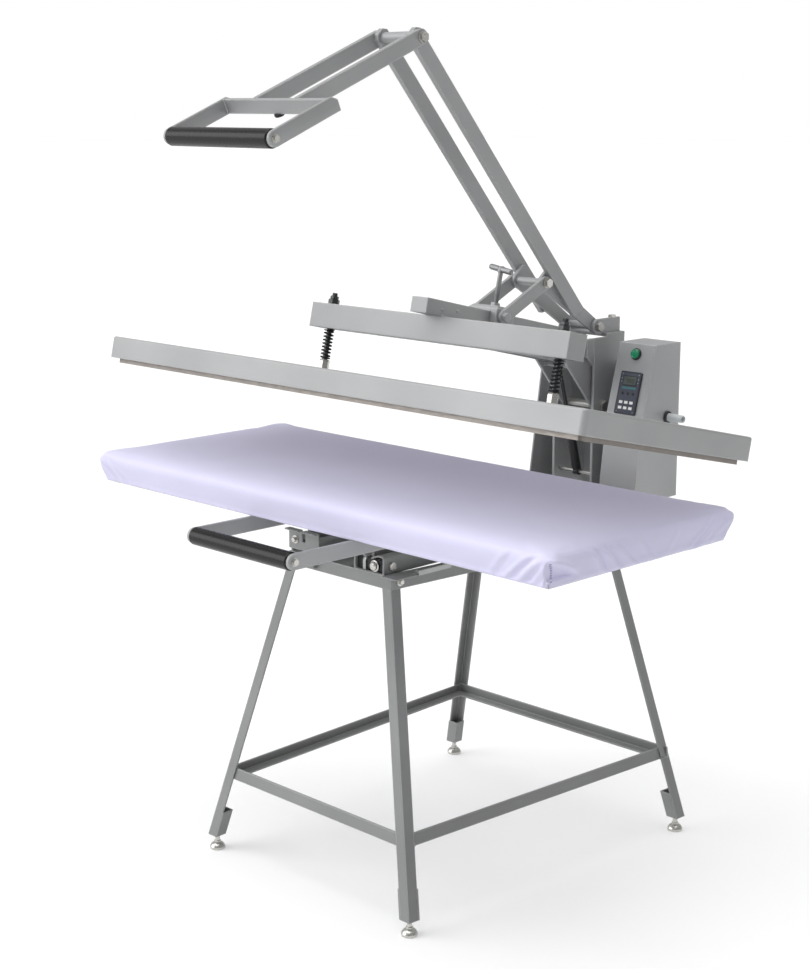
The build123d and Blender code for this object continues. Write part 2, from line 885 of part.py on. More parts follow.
def trunnion_block():
    """Saddle over the arm with chamfered shoulders, and the lock nut of the pressure screw."""
    top = arm_top_z + side_gap + trunnion_bridge
    low = (-trunnion_half_width, trunnion_front_y, trunnion_skirt_z)
    high = (trunnion_half_width, trunnion_back_y, top)
    saddle = block(low, high)
    shoulders = saddle.edges().group_by(Axis.Z)[-1]
    saddle = chamfer(shoulders, trunnion_chamfer)
    slot_x = arm_half_width + side_gap
    saddle -= block(
        (-slot_x, trunnion_front_y - overrun, trunnion_skirt_z - overrun),
        (slot_x, trunnion_back_y + overrun, arm_top_z + side_gap),
    )
    bore = Pos(0, screw_y, 0) * upright(screw_radius + fit_gap, trunnion_skirt_z, top + hex_height + overrun)
    nut = Pos(0, screw_y, top) * hex_prism(hex_across, hex_height)
    return Compound(children=[saddle - bore, nut - bore])


def pressure_screw():
    """Screw with a T bar, turned by hand to set the pressure."""
    stem = Pos(0, screw_y, 0) * upright(screw_radius, arm_top_z + side_gap, screw_bar_z)
    bar = cross_rod(screw_y, screw_bar_z, screw_bar_radius, -screw_bar_half_length, screw_bar_half_length)
    return stem + bar


# Platen

def platen_tray():
    """Pressed tray, open below, with rounded corners and edges."""
    width = 2 * tray_half_width
    depth = tray_back_y - tray_front_y
    mid_y = (tray_front_y + tray_back_y) / 2
    height = tray_top_z - tray_bottom_z
    shell = extrude(RectangleRounded(width, depth, tray_corner), amount=height)
    shell = Pos(0, mid_y, tray_bottom_z) * shell
    shell = fillet(shell.edges().group_by(Axis.Z)[-1], tray_edge)
    inner = RectangleRounded(width - 2 * tray_wall, depth - 2 * tray_wall, tray_corner - tray_wall)
    hollow = Pos(0, mid_y, tray_bottom_z - overrun) * extrude(inner, amount=height - tray_wall + overrun)
    hollow = fillet(hollow.edges().group_by(Axis.Z)[-1], tray_edge - tray_wall)
    return shell - hollow


def insulation():
    """Insulation slab between the tray and the heating plate."""
    inset = tray_wall + tray_edge
    return block(
        (-tray_half_width + inset, tray_front_y + inset, plate_top_z),
        (tray_half_width - inset, tray_back_y - inset, tray_top_z - tray_wall),
    )


def heating_plate():
    """Cast plate with embedded heaters, standing below the tray's rim."""
    width = 2 * (tray_half_width - plate_inset)
    depth = tray_back_y - tray_front_y - 2 * plate_inset
    mid_y = (tray_front_y + tray_back_y) / 2
    outline = Pos(0, mid_y, plate_bottom_z) * RectangleRounded(width, depth, plate_corner)
    return extrude(outline, amount=plate_thickness)


def spring_bolt():
    """Bolt with its socket on the tray, through the beam, and two nuts above it, at the origin."""
    bolt = upright(socket_flange_radius, tray_top_z, tray_top_z + socket_flange_height)
    bolt += upright(socket_radius, tray_top_z, socket_top_z)
    nut_z = beam_top_z + side_gap + washer_height
    top_z = nut_z + 2 * hex_height + bolt_tip
    bolt += upright(pin_radius, socket_top_z, top_z)
    bolt += upright(washer_radius, beam_top_z + side_gap, nut_z)
    bolt += Pos(0, 0, nut_z) * hex_prism(hex_across, hex_height)
    jam_nut = Rot(0, 0, jam_nut_turn) * hex_prism(hex_across, hex_height)
    return bolt + Pos(0, 0, nut_z + hex_height) * jam_nut


def biarc(start, start_way, end, end_way):
    """Two arcs that leave a point and reach another in given directions."""
    chord = end - start
    ways = start_way + end_way
    spread = 2 * (1 - start_way.dot(end_way))
    along = chord.dot(ways)
    reach = (sqrt(along * along + spread * chord.dot(chord)) - along) / spread
    joint = (start + start_way * reach + end - end_way * reach) * (1 / 2)
    arcs = []
    for point, corner in ((start, start + start_way * reach), (end, end - end_way * reach)):
        middle = (point + joint) * (1 / 2)
        half = (joint - point).length / 2
        lean = corner - middle
        quarter = acos(min(1, half / reach)) / 2
        crest = middle + lean.normalized() * (half * sin(quarter) / cos(quarter))
        arcs.append((point, crest, joint))
    first = ThreePointArc(*arcs[0])
    second = ThreePointArc(arcs[1][2], arcs[1][1], arcs[1][0])
    return [first, second]


def coil_spring():
    """Compression spring with closed end coils, at the origin, between socket and beam."""
    radius = spring_outer_radius - wire_radius
    low = socket_top_z + side_gap + wire_radius
    high = beam_bottom_z - side_gap - wire_radius
    closed_steps = [end_coil_pitch / 2] * 2
    open_count = spring_half_turns - 2 * len(closed_steps)
    open_step = (high - low - 2 * sum(closed_steps)) / open_count
    steps = closed_steps + [open_step] * open_count + closed_steps
    heights = [low]
    for step in steps:
        heights.append(heights[-1] + step)
    nodes = []
    for index, z in enumerate(heights):
        turn = pi * index
        near = steps[max(0, index - 1):index + 1]
        rise = sum(near) / len(near) / (pi * radius)
        place = Vector(radius * cos(turn), radius * sin(turn), z)
        way = Vector(-sin(turn), cos(turn), rise).normalized()
        nodes.append((place, way))
    edges = []
    for (start, start_way), (end, end_way) in zip(nodes, nodes[1:]):
        edges += biarc(start, start_way, end, end_way)
    path = Wire(edges)
    wire = sweep(Plane(nodes[0][0], z_dir=nodes[0][1]) * Circle(wire_radius), path=path)
    report_coil(path, sum(edge.length for edge in edges))
    return wire


def report_coil(path, length):
    """Prints the least gap between the spring's turns, measured on points of its axis."""
    count = int(spring_half_turns / 2 * coil_samples_per_turn)
    points = [path.position_at(index / count) for index in range(count + 1)]
    apart = coil_samples_per_turn // 2
    least = min(
        (points[one] - points[two]).length
        for one in range(count + 1)
        for two in range(one + apart, count + 1)
    )
    print("spring turns", spring_half_turns / 2, "wire length", round(length, 1))
    print("least gap between spring turns", round(least - 2 * wire_radius, 2))


# Lever linkage

def long_arm_line():
    """Direction and length of a long arm, from the knee past the elbow's round end to its tail."""
    apart = long_arm_depth / 2 + link_radius + elbow_arm_gap
    reach = hypot(elbow_y - knee_y, elbow_z - knee_z)
    angle = atan2(elbow_z - knee_z, elbow_y - knee_y) + asin(apart / reach)
    length = sqrt(reach * reach - apart * apart) + long_arm_tail
    return Vector(cos(angle), sin(angle)), length


def rear_link():
    """Right rear link plate: base pivot, elbow and a tail welded against the long arm."""
    run, length = long_arm_line()
    tail = Vector(knee_y, knee_z) + run * (length - long_arm_depth)
    upper = Vector(elbow_y, elbow_z) + Vector(-run.Y, run.X) * (2 * link_radius)
    outline = capsule((base_pivot_y, base_pivot_z), (elbow_y, elbow_z), link_radius)
    outline += Pos(base_pivot_y, base_pivot_z) * Circle(base_eye_radius)
    outline += flat_outline(
        (base_pivot_y, base_pivot_z), (tail.X, tail.Y), (upper.X, upper.Y), (elbow_y, elbow_z)
    )
    outline += capsule((tail.X, tail.Y), (upper.X, upper.Y), link_radius)
    outline += capsule((elbow_y, elbow_z), (upper.X, upper.Y), link_radius)
    outline += capsule((base_pivot_y, base_pivot_z), (tail.X, tail.Y), link_radius)
    outline -= Pos(base_pivot_y, base_pivot_z) * Circle(pin_radius + fit_gap)
    outline -= Pos(elbow_y, elbow_z) * Circle(pin_radius + fit_gap)
    return slab(outline, link_inner_x, link_outer_x)


def long_arm():
    """Right long arm, a flat bar from the rear link plate up to the knee."""
    run, length = long_arm_line()
    angle = degrees(atan2(run.Y, run.X))
    half = long_arm_depth / 2
    clip = long_arm_clip
    bar = flat_outline(
        (-half + clip, -half),
        (length - clip, -half),
        (length + clip, half),
        (-half + clip, half),
        (-half, half - clip),
        (-half, -half + clip),
    )
    outline = Pos(knee_y, knee_z) * Rot(0, 0, angle) * bar
    outline -= Pos(knee_y, knee_z) * Circle(pin_radius + fit_gap)
    return slab(outline, link_outer_x, long_arm_outer_x)


def spacer(y, z, radius, half_length):
    """Tube on a bolt between two plates."""
    tube = cross_rod(y, z, radius, -half_length, half_length)
    return tube - cross_rod(y, z, pin_radius + fit_gap, -half_length - overrun, half_length + overrun)


def lever_spacers():
    """Spacer tubes at the base pivot, the elbow and the knee."""
    return Compound(
        children=[
            spacer(base_pivot_y, base_pivot_z, spacer_radius, link_inner_x),
            spacer(elbow_y, elbow_z, spacer_radius, link_inner_x),
            spacer(knee_y, knee_z, knee_spacer_radius, link_outer_x),
        ]
    )


def lever_bolts():
    """Elbow bolt and knee bolt."""
    elbow = cross_bolt(elbow_y, elbow_z, pin_radius, forward_outer_x + side_gap, hex_across, hex_height)
    knee = cross_bolt(knee_y, knee_z, pin_radius, fork_outer_x + side_gap, hex_across, hex_height)
    return Compound(children=[elbow, knee])


def open_trunnion():
    """Y and Z of the trunnion axis in the open position."""
    angle = radians(-head_open_angle)
    y = trunnion_y - hinge_y
    z = trunnion_z - hinge_z
    return (hinge_y + y * cos(angle) - z * sin(angle), hinge_z + y * sin(angle) + z * cos(angle))


def forward_link():
    """Right forward link plate with its trunnion bolt, which stops short of the block."""
    trunnion = open_trunnion()
    outline = capsule((elbow_y, elbow_z), trunnion, link_radius)
    outline -= Pos(elbow_y, elbow_z) * Circle(pin_radius + fit_gap)
    outline -= Pos(*trunnion) * Circle(pin_radius)
    plate = slab(outline, forward_inner_x, forward_outer_x)
    washer_x = forward_outer_x + washer_height
    bolt = cross_rod(*trunnion, pin_radius, forward_inner_x, washer_x)
    bolt += cross_rod(*trunnion, washer_radius, forward_outer_x, washer_x)
    bolt += Pos(washer_x, *trunnion) * Rot(0, 90, 0) * hex_prism(hex_across, hex_height)
    return plate + bolt


# Gas strut, drawn upright at the origin and then leaned from its foot to its open head point

def strut_line():
    """Foot, head and lean of the strut in the open position."""
    angle = radians(-head_open_angle)
    y = strut_head_y - hinge_y
    z = strut_head_z - hinge_z
    head = (hinge_y + y * cos(angle) - z * sin(angle), hinge_z + y * sin(angle) + z * cos(angle))
    run = (head[0] - strut_foot_y, head[1] - strut_foot_z)
    return head, hypot(*run), degrees(atan2(-run[0], run[1]))


def place_strut(shape):
    """Leans a strut piece about its foot."""
    return Pos(0, strut_foot_y, strut_foot_z) * Rot(strut_line()[2], 0, 0) * shape


def strut_cylinder():
    """Cylinder with its lower eye."""
    half = strut_eye_half_width
    body = upright(strut_radius, strut_eye_radius, strut_length)
    body += cross_rod(0, 0, strut_eye_radius, -half, half)
    body += block((-half, -half, 0), (half, half, strut_eye_radius + strut_pin_radius))
    body -= cross_rod(0, 0, strut_pin_radius + fit_gap, -overrun - half, overrun + half)
    bore_low = strut_length - 2 * strut_bore_spare
    body -= upright(strut_rod_radius + fit_gap, bore_low, strut_length + overrun)
    return place_strut(body)


def strut_rod():
    """Rod with its upper eye."""
    length = strut_line()[1]
    half = strut_eye_half_width
    rod = upright(strut_rod_radius, strut_length - strut_bore_spare, length - strut_pin_radius - side_gap)
    eye = cross_rod(0, length, strut_eye_radius, -half, half)
    eye -= cross_rod(0, length, strut_pin_radius + side_gap, -overrun - half, overrun + half)
    return place_strut(rod + eye)


# Control box and its fittings

front_slope = Vector(0, box_top_front_y - box_kink_y, box_top_z - box_kink_z).normalized()


def panel(from_top):
    """Plane on the slanted front, square to it, at a distance below its upper edge."""
    origin = Vector(control_centre_x, box_top_front_y, box_top_z) - front_slope * from_top
    return Plane(origin, x_dir=(1, 0, 0), z_dir=Vector(1, 0, 0).cross(front_slope))


def control_box():
    """Folded housing with openings for the controller, lamp and cable."""
    points = [
        (box_top_front_y, box_top_z),
        (column_back_y, box_top_z),
        (column_back_y, box_bottom_z),
        (box_bottom_front_y, box_bottom_z),
        (box_kink_y, box_kink_z),
    ]
    outline = flat_outline(*points)
    shell = slab(outline, column_half_width, box_right_x)
    inner = offset(outline, amount=-box_wall, kind=Kind.INTERSECTION)
    shell -= slab(inner, column_half_width + box_wall, box_right_x - box_wall)
    width = controller_width - 2 * controller_lip
    height = controller_height - 2 * controller_lip
    cut = 2 * overrun
    shell -= panel(controller_from_top) * Box(width + 2 * side_gap, height + 2 * side_gap, cut)
    shell -= panel(lamp_from_top) * Cylinder(lamp_stem_radius + fit_gap, cut)
    return shell - cross_rod(gland_y, gland_z, gland_pipe_radius, box_right_x - cut, box_right_x + cut)


def key_places():
    """Places of the keys on the controller's face, by number."""
    places = []
    for row in range(key_rows):
        for column in range(key_columns):
            x = (column - (key_columns - 1) / 2) * key_column_pitch
            y = -key_rows_from_centre - row * key_row_pitch
            places.append((x, y))
    return places


def controller_body():
    """Controller case with its front flange and key pockets."""
    flange = RectangleRounded(controller_width, controller_height, controller_edge)
    flange = extrude(flange, amount=controller_proud)
    width = controller_width - 2 * controller_lip
    height = controller_height - 2 * controller_lip
    case = Pos(0, 0, -controller_depth / 2) * Box(width, height, controller_depth)
    body = flange + case
    for x, y in key_places():
        pocket = Box(key_width, key_height, 2 * key_pocket_depth)
        body -= Pos(x, y, controller_proud) * pocket
    return panel(controller_from_top) * body


def key(number):
    """One key in its pocket."""
    x, y = key_places()[number - 1]
    low = controller_proud - key_pocket_depth + key_floor_gap
    cap = extrude(
        Rectangle(key_width - 2 * key_side_gap, key_height - 2 * key_side_gap),
        amount=controller_proud + key_proud - low,
    )
    return panel(controller_from_top) * Pos(x, y, low) * cap


def lamp_bezel():
    """Bezel of the lamp, with its stem through the box's front."""
    ring = upright(lamp_bezel_radius, 0, lamp_bezel_height)
    ring = chamfer(ring.edges().group_by(Axis.Z)[-1], lamp_bezel_height / 2)
    return panel(lamp_from_top) * (ring + upright(lamp_stem_radius, -lamp_stem_length, 0))


def lamp_lens():
    """Domed lens on the bezel."""
    high = lamp_lens_height
    radius = lamp_lens_radius
    outline = make_face(
        [
            Line((0, 0), (radius, 0)),
            RadiusArc((radius, 0), (0, high), -(radius * radius + high * high) / (2 * high)),
            Line((0, high), (0, 0)),
        ]
    )
    dome = revolve(Plane.XZ * outline, Axis.Z)
    return panel(lamp_from_top) * Pos(0, 0, lamp_bezel_height) * dome


def cable_gland():
    """Grommet and short pipe on the box's right side, open for a cable."""
    flange_x = box_right_x + gland_flange_height
    gland = cross_rod(gland_y, gland_z, gland_flange_radius, box_right_x, flange_x)
    gland += cross_rod(gland_y, gland_z, gland_pipe_radius, flange_x, flange_x + gland_pipe_length)
    return gland - cross_rod(
        gland_y, gland_z, gland_bore_radius, box_right_x - overrun, flange_x + gland_pipe_length + overrun
    )


# Motion, for the joint list: swing of the lever and how far the link and head go with it

def report_motion():
    """Prints the lever's swing from open to closed and the ratios of the pieces that follow it."""
    rear = hypot(elbow_y - base_pivot_y, elbow_z - base_pivot_z)
    open_point = open_trunnion()
    forward = hypot(elbow_y - open_point[0], elbow_z - open_point[1])
    reach = hypot(trunnion_y - base_pivot_y, trunnion_z - base_pivot_z)
    base_angle = atan2(trunnion_z - base_pivot_z, trunnion_y - base_pivot_y)
    bend = acos((rear ** 2 + reach ** 2 - forward ** 2) / (2 * rear * reach))
    closed_angle = base_angle % (2 * pi) - bend
    swing = closed_angle - atan2(elbow_z - base_pivot_z, elbow_y - base_pivot_y)
    closed_elbow = (base_pivot_y + rear * cos(closed_angle), base_pivot_z + rear * sin(closed_angle))
    open_link = atan2(open_point[1] - elbow_z, open_point[0] - elbow_y) % (2 * pi)
    closed_link = atan2(trunnion_z - closed_elbow[1], trunnion_y - closed_elbow[0]) % (2 * pi)
    print("rear link", round(rear, 2), "forward link", round(forward, 2))
    print("trunnion", [round(value, 2) for value in open_point], "elbow closed", closed_elbow)
    print("lever swing", round(degrees(swing), 4))
    print("head ratio", round(radians(head_open_angle) / swing, 5))
    print("link ratio", round((closed_link - open_link) / swing - 1, 5))
    head, length, lean = strut_line()
    closed_run = (strut_head_y - strut_foot_y, strut_head_z - strut_foot_z)
    closed_lean = degrees(atan2(-closed_run[0], closed_run[1]))
    print("strut head", head, "length", length, "lean", lean)
    print("strut ratio", round(radians(closed_lean - lean) / swing, 5))
    print("strut slide per radian", round((hypot(*closed_run) - length) / swing, 4))
    print("panel normal", panel(0).z_dir)
    for name, leg in legs.items():
        print("foot", name, box_centre(leg, leg_bottom_z + shoe_plate / 2))


def parts():
    """Every piece by name."""
    irons = {name: leg_iron(leg) for name, leg in legs.items()}
    housing = slide_housing()
    side = column_side()
    bolt = open_head(Pos(spring_bolt_x, beam_centre_y, 0) * spring_bolt())
    spring = open_head(Pos(spring_bolt_x, beam_centre_y, 0) * coil_spring())
    made = {
        "legs": Compound(children=list(irons.values())),
        "leg_shoes": Compound(children=[leg_shoe(leg) for leg in legs.values()]),
        "lower_rails": lower_rails(irons),
        "top_rails": top_rails(),
        "slide_housing_left": mirror(housing, about=Plane.YZ),
        "slide_housing_right": housing,
        "column_left": mirror(side, about=Plane.YZ),
        "column_right": side,
        "column_back": column_back(),
        "post_frame": post_frame(),
        "pivot_brackets": both(pivot_bracket()),
        "frame_pins": frame_pins(),
        "frame_bolts": frame_bolts(),
        "control_box": control_box(),
        "controller_body": controller_body(),
        "lamp_bezel": lamp_bezel(),
        "lamp_lens": lamp_lens(),
        "cable_gland": cable_gland(),
        "table_board": table_board(),
        "table_pad": table_pad(),
        "table_frame": table_frame(),
        "pull_bars": both(pull_bar()),
        "pull_rod": grip_rod(pull_grip_y, pull_grip_z),
        "pull_grip": grip(pull_grip_y, pull_grip_z),
        "front_rollers": both(front_roller()),
        "rear_rollers": both(rear_roller()),
        "centre_arm": open_head(centre_arm()),
        "head_spine": open_head(head_spine()),
        "cross_beam": open_head(cross_beam()),
        "head_gussets": both(open_head(head_gusset())),
        "trunnion_block": open_head(trunnion_block()),
        "pressure_screw": open_head(pressure_screw()),
        "platen_tray": open_head(platen_tray()),
        "insulation": open_head(insulation()),
        "heating_plate": open_head(heating_plate()),
        "spring_bolts": both(bolt),
        "platen_springs": both(spring),
        "rear_links": both(rear_link()),
        "long_arms": both(long_arm()),
        "lever_spacers": lever_spacers(),
        "lever_bolts": lever_bolts(),
        "forward_links": both(forward_link()),
        "fork_bars": both(fork_bar()),
        "cross_flat": cross_flat(),
        "handle_sides": both(side_bar()),
        "handle_rod": grip_rod(*handle_point(handle_length, 0)),
        "top_grip": grip(*handle_point(handle_length, 0)),
        "handle_bumper": bumper(),
        "strut_cylinder": strut_cylinder(),
        "strut_rod": strut_rod(),
    }
    for name, leg in legs.items():
        made["foot_" + name] = levelling_foot(leg)
    for number in range(1, len(key_places()) + 1):
        made["key_" + str(number)] = key(number)
    return made


os.makedirs("parts", exist_ok=True)
report_motion()
for part_name, part_shape in parts().items():
    export_step(part_shape, "parts/" + part_name + ".step")
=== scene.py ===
import math
import bmesh
import bpy
from mathutils import Matrix, Vector, noise


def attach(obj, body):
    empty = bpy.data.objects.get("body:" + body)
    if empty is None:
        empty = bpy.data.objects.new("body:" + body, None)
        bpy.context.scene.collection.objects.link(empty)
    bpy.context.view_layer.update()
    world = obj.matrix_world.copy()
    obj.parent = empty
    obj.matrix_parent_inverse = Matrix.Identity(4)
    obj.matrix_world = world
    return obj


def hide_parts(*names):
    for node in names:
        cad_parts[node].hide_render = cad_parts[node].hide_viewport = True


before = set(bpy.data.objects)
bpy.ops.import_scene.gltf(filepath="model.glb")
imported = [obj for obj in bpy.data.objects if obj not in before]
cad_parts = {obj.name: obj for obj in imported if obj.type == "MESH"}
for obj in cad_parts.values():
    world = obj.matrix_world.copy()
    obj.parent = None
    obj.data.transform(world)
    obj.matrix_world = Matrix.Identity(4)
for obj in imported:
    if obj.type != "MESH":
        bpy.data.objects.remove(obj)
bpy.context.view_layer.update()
scene = bpy.context.scene
scene.view_settings.view_transform = "Standard"


# Camera. The press is seen from its front right, from a standing person's eye height and a
# little from above, through a long lens that keeps its uprights straight.
photo_width = 810
focal_in_pixels = 1808
film_width = 36.0

camera_data = bpy.data.cameras.new("camera")
camera_data.sensor_fit = "HORIZONTAL"
camera_data.sensor_width = film_width
camera_data.lens = focal_in_pixels / photo_width * film_width
camera_data.clip_end = 200.0
camera = bpy.data.objects.new("camera", camera_data)
camera.location = (2.7494, -2.7929, 1.672)
camera.rotation_euler = (math.radians(78.02), 0.0, math.radians(45.41))
scene.collection.objects.link(camera)
scene.camera = camera


# Stand: legs, shoes and rails of hot rolled angle iron, sawn, welded and powder coated grey.
# The coat has the faint skin of an orange, soft edges painted paler, partly where it draws away
# and partly as painted highlight, and a little aluminium flake that gives it a cool sheen.
stand_colour = "#8C8D8D"
stand_shade = "#818282"
coat_skin = 0.0022  # real skin is about 1 mm across, drawn twice as coarse so that it shows
coat_cloud = 0.28
coat_edge = 0.0040


def linear(colour):
    """A colour written as sRGB hex, as the shader's linear values."""
    values = []
    for start in (1, 3, 5):
        level = int(colour[start:start + 2], 16) / 255
        values.append(level / 12.92 if level <= 0.04045 else ((level + 0.055) / 1.055) ** 2.4)
    return (*values, 1.0)


def add(tree, kind, links=None, **settings):
    """Adds a node with its settings, and feeds its inputs from values or other nodes."""
    node = tree.nodes.new(kind)
    for name, value in settings.items():
        setattr(node, name, value)
    for socket, value in (links or {}).items():
        if isinstance(value, bpy.types.NodeSocket):
            tree.links.new(value, node.inputs[socket])
        else:
            node.inputs[socket].default_value = value
    return node


def start_finish(name, **even):
    """A new material with its shader, even values on the shader's own sockets, and coordinates."""
    material = bpy.data.materials.new(name)
    material.use_nodes = True
    tree = material.node_tree
    tree.nodes.clear()
    shader = add(tree, "ShaderNodeBsdfPrincipled")
    for socket, value in even.items():
        shader.inputs[socket.replace("_", " ")].default_value = value
    output = add(tree, "ShaderNodeOutputMaterial")
    tree.links.new(shader.outputs["BSDF"], output.inputs["Surface"])
    place = add(tree, "ShaderNodeTexCoord").outputs["Object"]
    return material, tree, shader, place


def powder_coat(name, colour, shade, rub_and_highlight):
    """Baked powder on steel: clouded tone, fine skin, and soft edges painted paler, partly rubbed and
    partly painted highlight.
    """
    material, tree, shader, place = start_finish(name, Metallic=0.25, IOR=1.5)
    cloud = add(tree, "ShaderNodeTexNoise", {"Vector": place, "Scale": 1 / coat_cloud, "Detail": 3.0})
    spread = add(tree, "ShaderNodeMapRange", {0: cloud.outputs[0], 1: 0.35, 2: 0.65})
    tone = add(tree, "ShaderNodeMix", {0: spread.outputs[0], 6: linear(colour), 7: linear(shade)},
               data_type="RGBA")
    skin = add(tree, "ShaderNodeTexNoise", {"Vector": place, "Scale": 1 / coat_skin, "Detail": 2.0})
    soft = add(tree, "ShaderNodeBevel", {"Radius": coat_edge}, samples=3)
    flat = add(tree, "ShaderNodeNewGeometry")
    turn = add(tree, "ShaderNodeVectorMath", {0: soft.outputs[0], 1: flat.outputs["Normal"]},
               operation="DOT_PRODUCT")
    # Near edges the tone is mixed towards the paler edge colour: partly rubbed paint, partly a painted
    # highlight where rounded edges catch the light.
    edge = add(tree, "ShaderNodeMapRange", {0: turn.outputs["Value"], 1: 0.995, 2: 0.82, 3: 0.0, 4: 0.9})
    rubbed_and_lit = add(tree, "ShaderNodeMix", {0: edge.outputs[0], 6: tone.outputs[2], 7: linear(rub_and_highlight)},
               data_type="RGBA")
    gloss = add(tree, "ShaderNodeMapRange", {0: skin.outputs[0], 1: 0.3, 2: 0.7, 3: 0.40, 4: 0.50})
    relief = add(tree, "ShaderNodeBump", {"Strength": 0.25, "Distance": 0.00015,
                                          "Height": skin.outputs[0], "Normal": soft.outputs[0]})
    tree.links.new(rubbed_and_lit.outputs[2], shader.inputs["Base Color"])
    tree.links.new(gloss.outputs[0], shader.inputs["Roughness"])
    tree.links.new(relief.outputs[0], shader.inputs["Normal"])
    return material


def coat(material, *names):
    """Gives CAD nodes a finish in place of their plain colour."""
    for name in names:
        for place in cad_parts[name].material_slots:
            place.material = material


# The last colour is the paler edge: partly rubbed paint, partly painted highlight.
stand_coat = powder_coat("powder coated angle iron", stand_colour, stand_shade, "#C4C5C5")
coat(stand_coat, "legs", "leg_shoes", "lower_rails", "top_rails")


# Slide housings: folded sheet tubes with a slot along the top, coated like the stand, with
# the ground steel rollers and their bolts inside.
roller_steel = "#B9B8B4"
turning_pitch = 0.0012  # tool marks are finer than this and would not show


def worked_metal(name, colour, stain, rough, grain, stretch, bump):
    """Bare or plated metal: slow staining, and fine marks that run along one way."""
    material, tree, shader, place = start_finish(name, Metallic=1.0)
    cloud = add(tree, "ShaderNodeTexNoise", {"Vector": place, "Scale": 55.0, "Detail": 4.0})
    tone = add(tree, "ShaderNodeMix", {0: cloud.outputs[0], 6: linear(colour), 7: linear(stain)},
               data_type="RGBA")
    drawn = add(tree, "ShaderNodeMapping", {"Vector": place, "Scale": stretch})
    marks = add(tree, "ShaderNodeTexNoise", {"Vector": drawn.outputs[0], "Scale": 1 / grain, "Detail": 3.0})
    gloss = add(tree, "ShaderNodeMapRange",
                {0: marks.outputs[0], 1: 0.25, 2: 0.75, 3: rough[0], 4: rough[1]})
    soft = add(tree, "ShaderNodeBevel", {"Radius": 0.0006}, samples=3)
    relief = add(tree, "ShaderNodeBump", {"Strength": bump, "Distance": 0.0001,
                                          "Height": marks.outputs[0], "Normal": soft.outputs[0]})
    tree.links.new(tone.outputs[2], shader.inputs["Base Color"])
    tree.links.new(gloss.outputs[0], shader.inputs["Roughness"])
    tree.links.new(relief.outputs[0], shader.inputs["Normal"])
    return material


# The last colour is the paler edge: partly rubbed paint, partly painted highlight.
housing_coat = powder_coat("powder coated folded sheet", "#8E8F8F", "#828383", "#C6C7C7")
coat(housing_coat, "slide_housing_left", "slide_housing_right")
ground_steel = worked_metal("ground steel", roller_steel, "#A2A19D", (0.25, 0.4), turning_pitch,
                            (1.0, 0.2, 0.2), 0.2)
coat(ground_steel, "front_rollers", "rear_rollers")
zinc_plate = worked_metal("bright zinc plated steel", "#CFCEC9", "#BDBCB7", (0.24, 0.34), 0.0035,
                          (1.0, 1.0, 1.0), 0.08)
dull_zinc = worked_metal("dull zinc plated steel", "#B2B2AF", "#A3A3A0", (0.38, 0.48), 0.0035,
                         (1.0, 1.0, 1.0), 0.08)
coat(dull_zinc, "frame_pins")
coat(zinc_plate, "frame_bolts", "foot_front_left", "foot_front_right", "foot_back_left",
     "foot_back_right")


def start_tree(name, sizes):
    """A Geometry Nodes tree with a seed input, and a named number input for each size."""
    tree = bpy.data.node_groups.new(name, "GeometryNodeTree")
    tree.interface.new_socket("Seeds", in_out="INPUT", socket_type="NodeSocketGeometry")
    for size, value in sizes.items():
        socket = tree.interface.new_socket(size, in_out="INPUT", socket_type="NodeSocketFloat")
        socket.default_value = value
    tree.interface.new_socket("Made", in_out="OUTPUT", socket_type="NodeSocketGeometry")
    return tree, tree.nodes.new("NodeGroupInput").outputs


def set_out(tree, seeds, shape, material):
    """Ends a tree: the shape stands on each seed, facing the seed's way, real and with its finish."""
    way = add(tree, "GeometryNodeInputNamedAttribute", {"Name": "way"}, data_type="FLOAT_VECTOR")
    turn = add(tree, "FunctionNodeAlignRotationToVector", {"Vector": way.outputs[0]}, axis="Z")
    stood = add(tree, "GeometryNodeInstanceOnPoints", {"Points": seeds, "Instance": shape,
                                                       "Rotation": turn.outputs[0]})
    real = add(tree, "GeometryNodeRealizeInstances", {0: stood.outputs[0]})
    made = add(tree, "GeometryNodeSetMaterial", {"Geometry": real.outputs[0], "Material": material})
    add(tree, "NodeGroupOutput", {0: made.outputs[0]})
    return tree


def math_node(tree, operation, first, second):
    """One sum in a tree."""
    return add(tree, "ShaderNodeMath", {0: first, 1: second}, operation=operation).outputs[0]


hexagon_corner = 0.57735  # a hexagon's corner radius over its width across flats
turned_radius = 0.82  # the turned face's outer radius over the corner radius
turned_height = 0.16  # the turned face's height over the head's


def hex_screw(name, material):
    """Hexagon head with a turned-down face on a round washer."""
    tree, size = start_tree(name, {"Across": 0.013, "Height": 0.005, "Washer": 0.008, "Rim": 0.0012})
    corner = math_node(tree, "MULTIPLY", size["Across"], hexagon_corner)
    washer = add(tree, "GeometryNodeMeshCone", {"Vertices": 28, "Radius Top": size["Washer"],
                                                "Radius Bottom": size["Washer"], "Depth": size["Rim"]})
    head = add(tree, "GeometryNodeMeshCone", {"Vertices": 6, "Radius Top": corner,
                                              "Radius Bottom": corner, "Depth": size["Height"]})
    lift = add(tree, "ShaderNodeCombineXYZ", {"Z": size["Rim"]})
    raised = add(tree, "GeometryNodeTransform",
                 {"Geometry": head.outputs[0], "Translation": lift.outputs[0]})
    narrow = math_node(tree, "MULTIPLY", corner, turned_radius)
    shallow = math_node(tree, "MULTIPLY", size["Height"], turned_height)
    face = add(tree, "GeometryNodeMeshCone", {"Vertices": 6, "Radius Top": narrow,
                                              "Radius Bottom": corner, "Depth": shallow})
    top = add(tree, "ShaderNodeCombineXYZ", {"Z": math_node(tree, "ADD", size["Rim"], size["Height"])})
    capped = add(tree, "GeometryNodeTransform",
                 {"Geometry": face.outputs[0], "Translation": top.outputs[0]})
    joined = tree.nodes.new("GeometryNodeJoinGeometry")
    for part in (washer, raised, capped):
        tree.links.new(part.outputs[0], joined.inputs[0])
    return set_out(tree, size["Seeds"], joined.outputs[0], material)


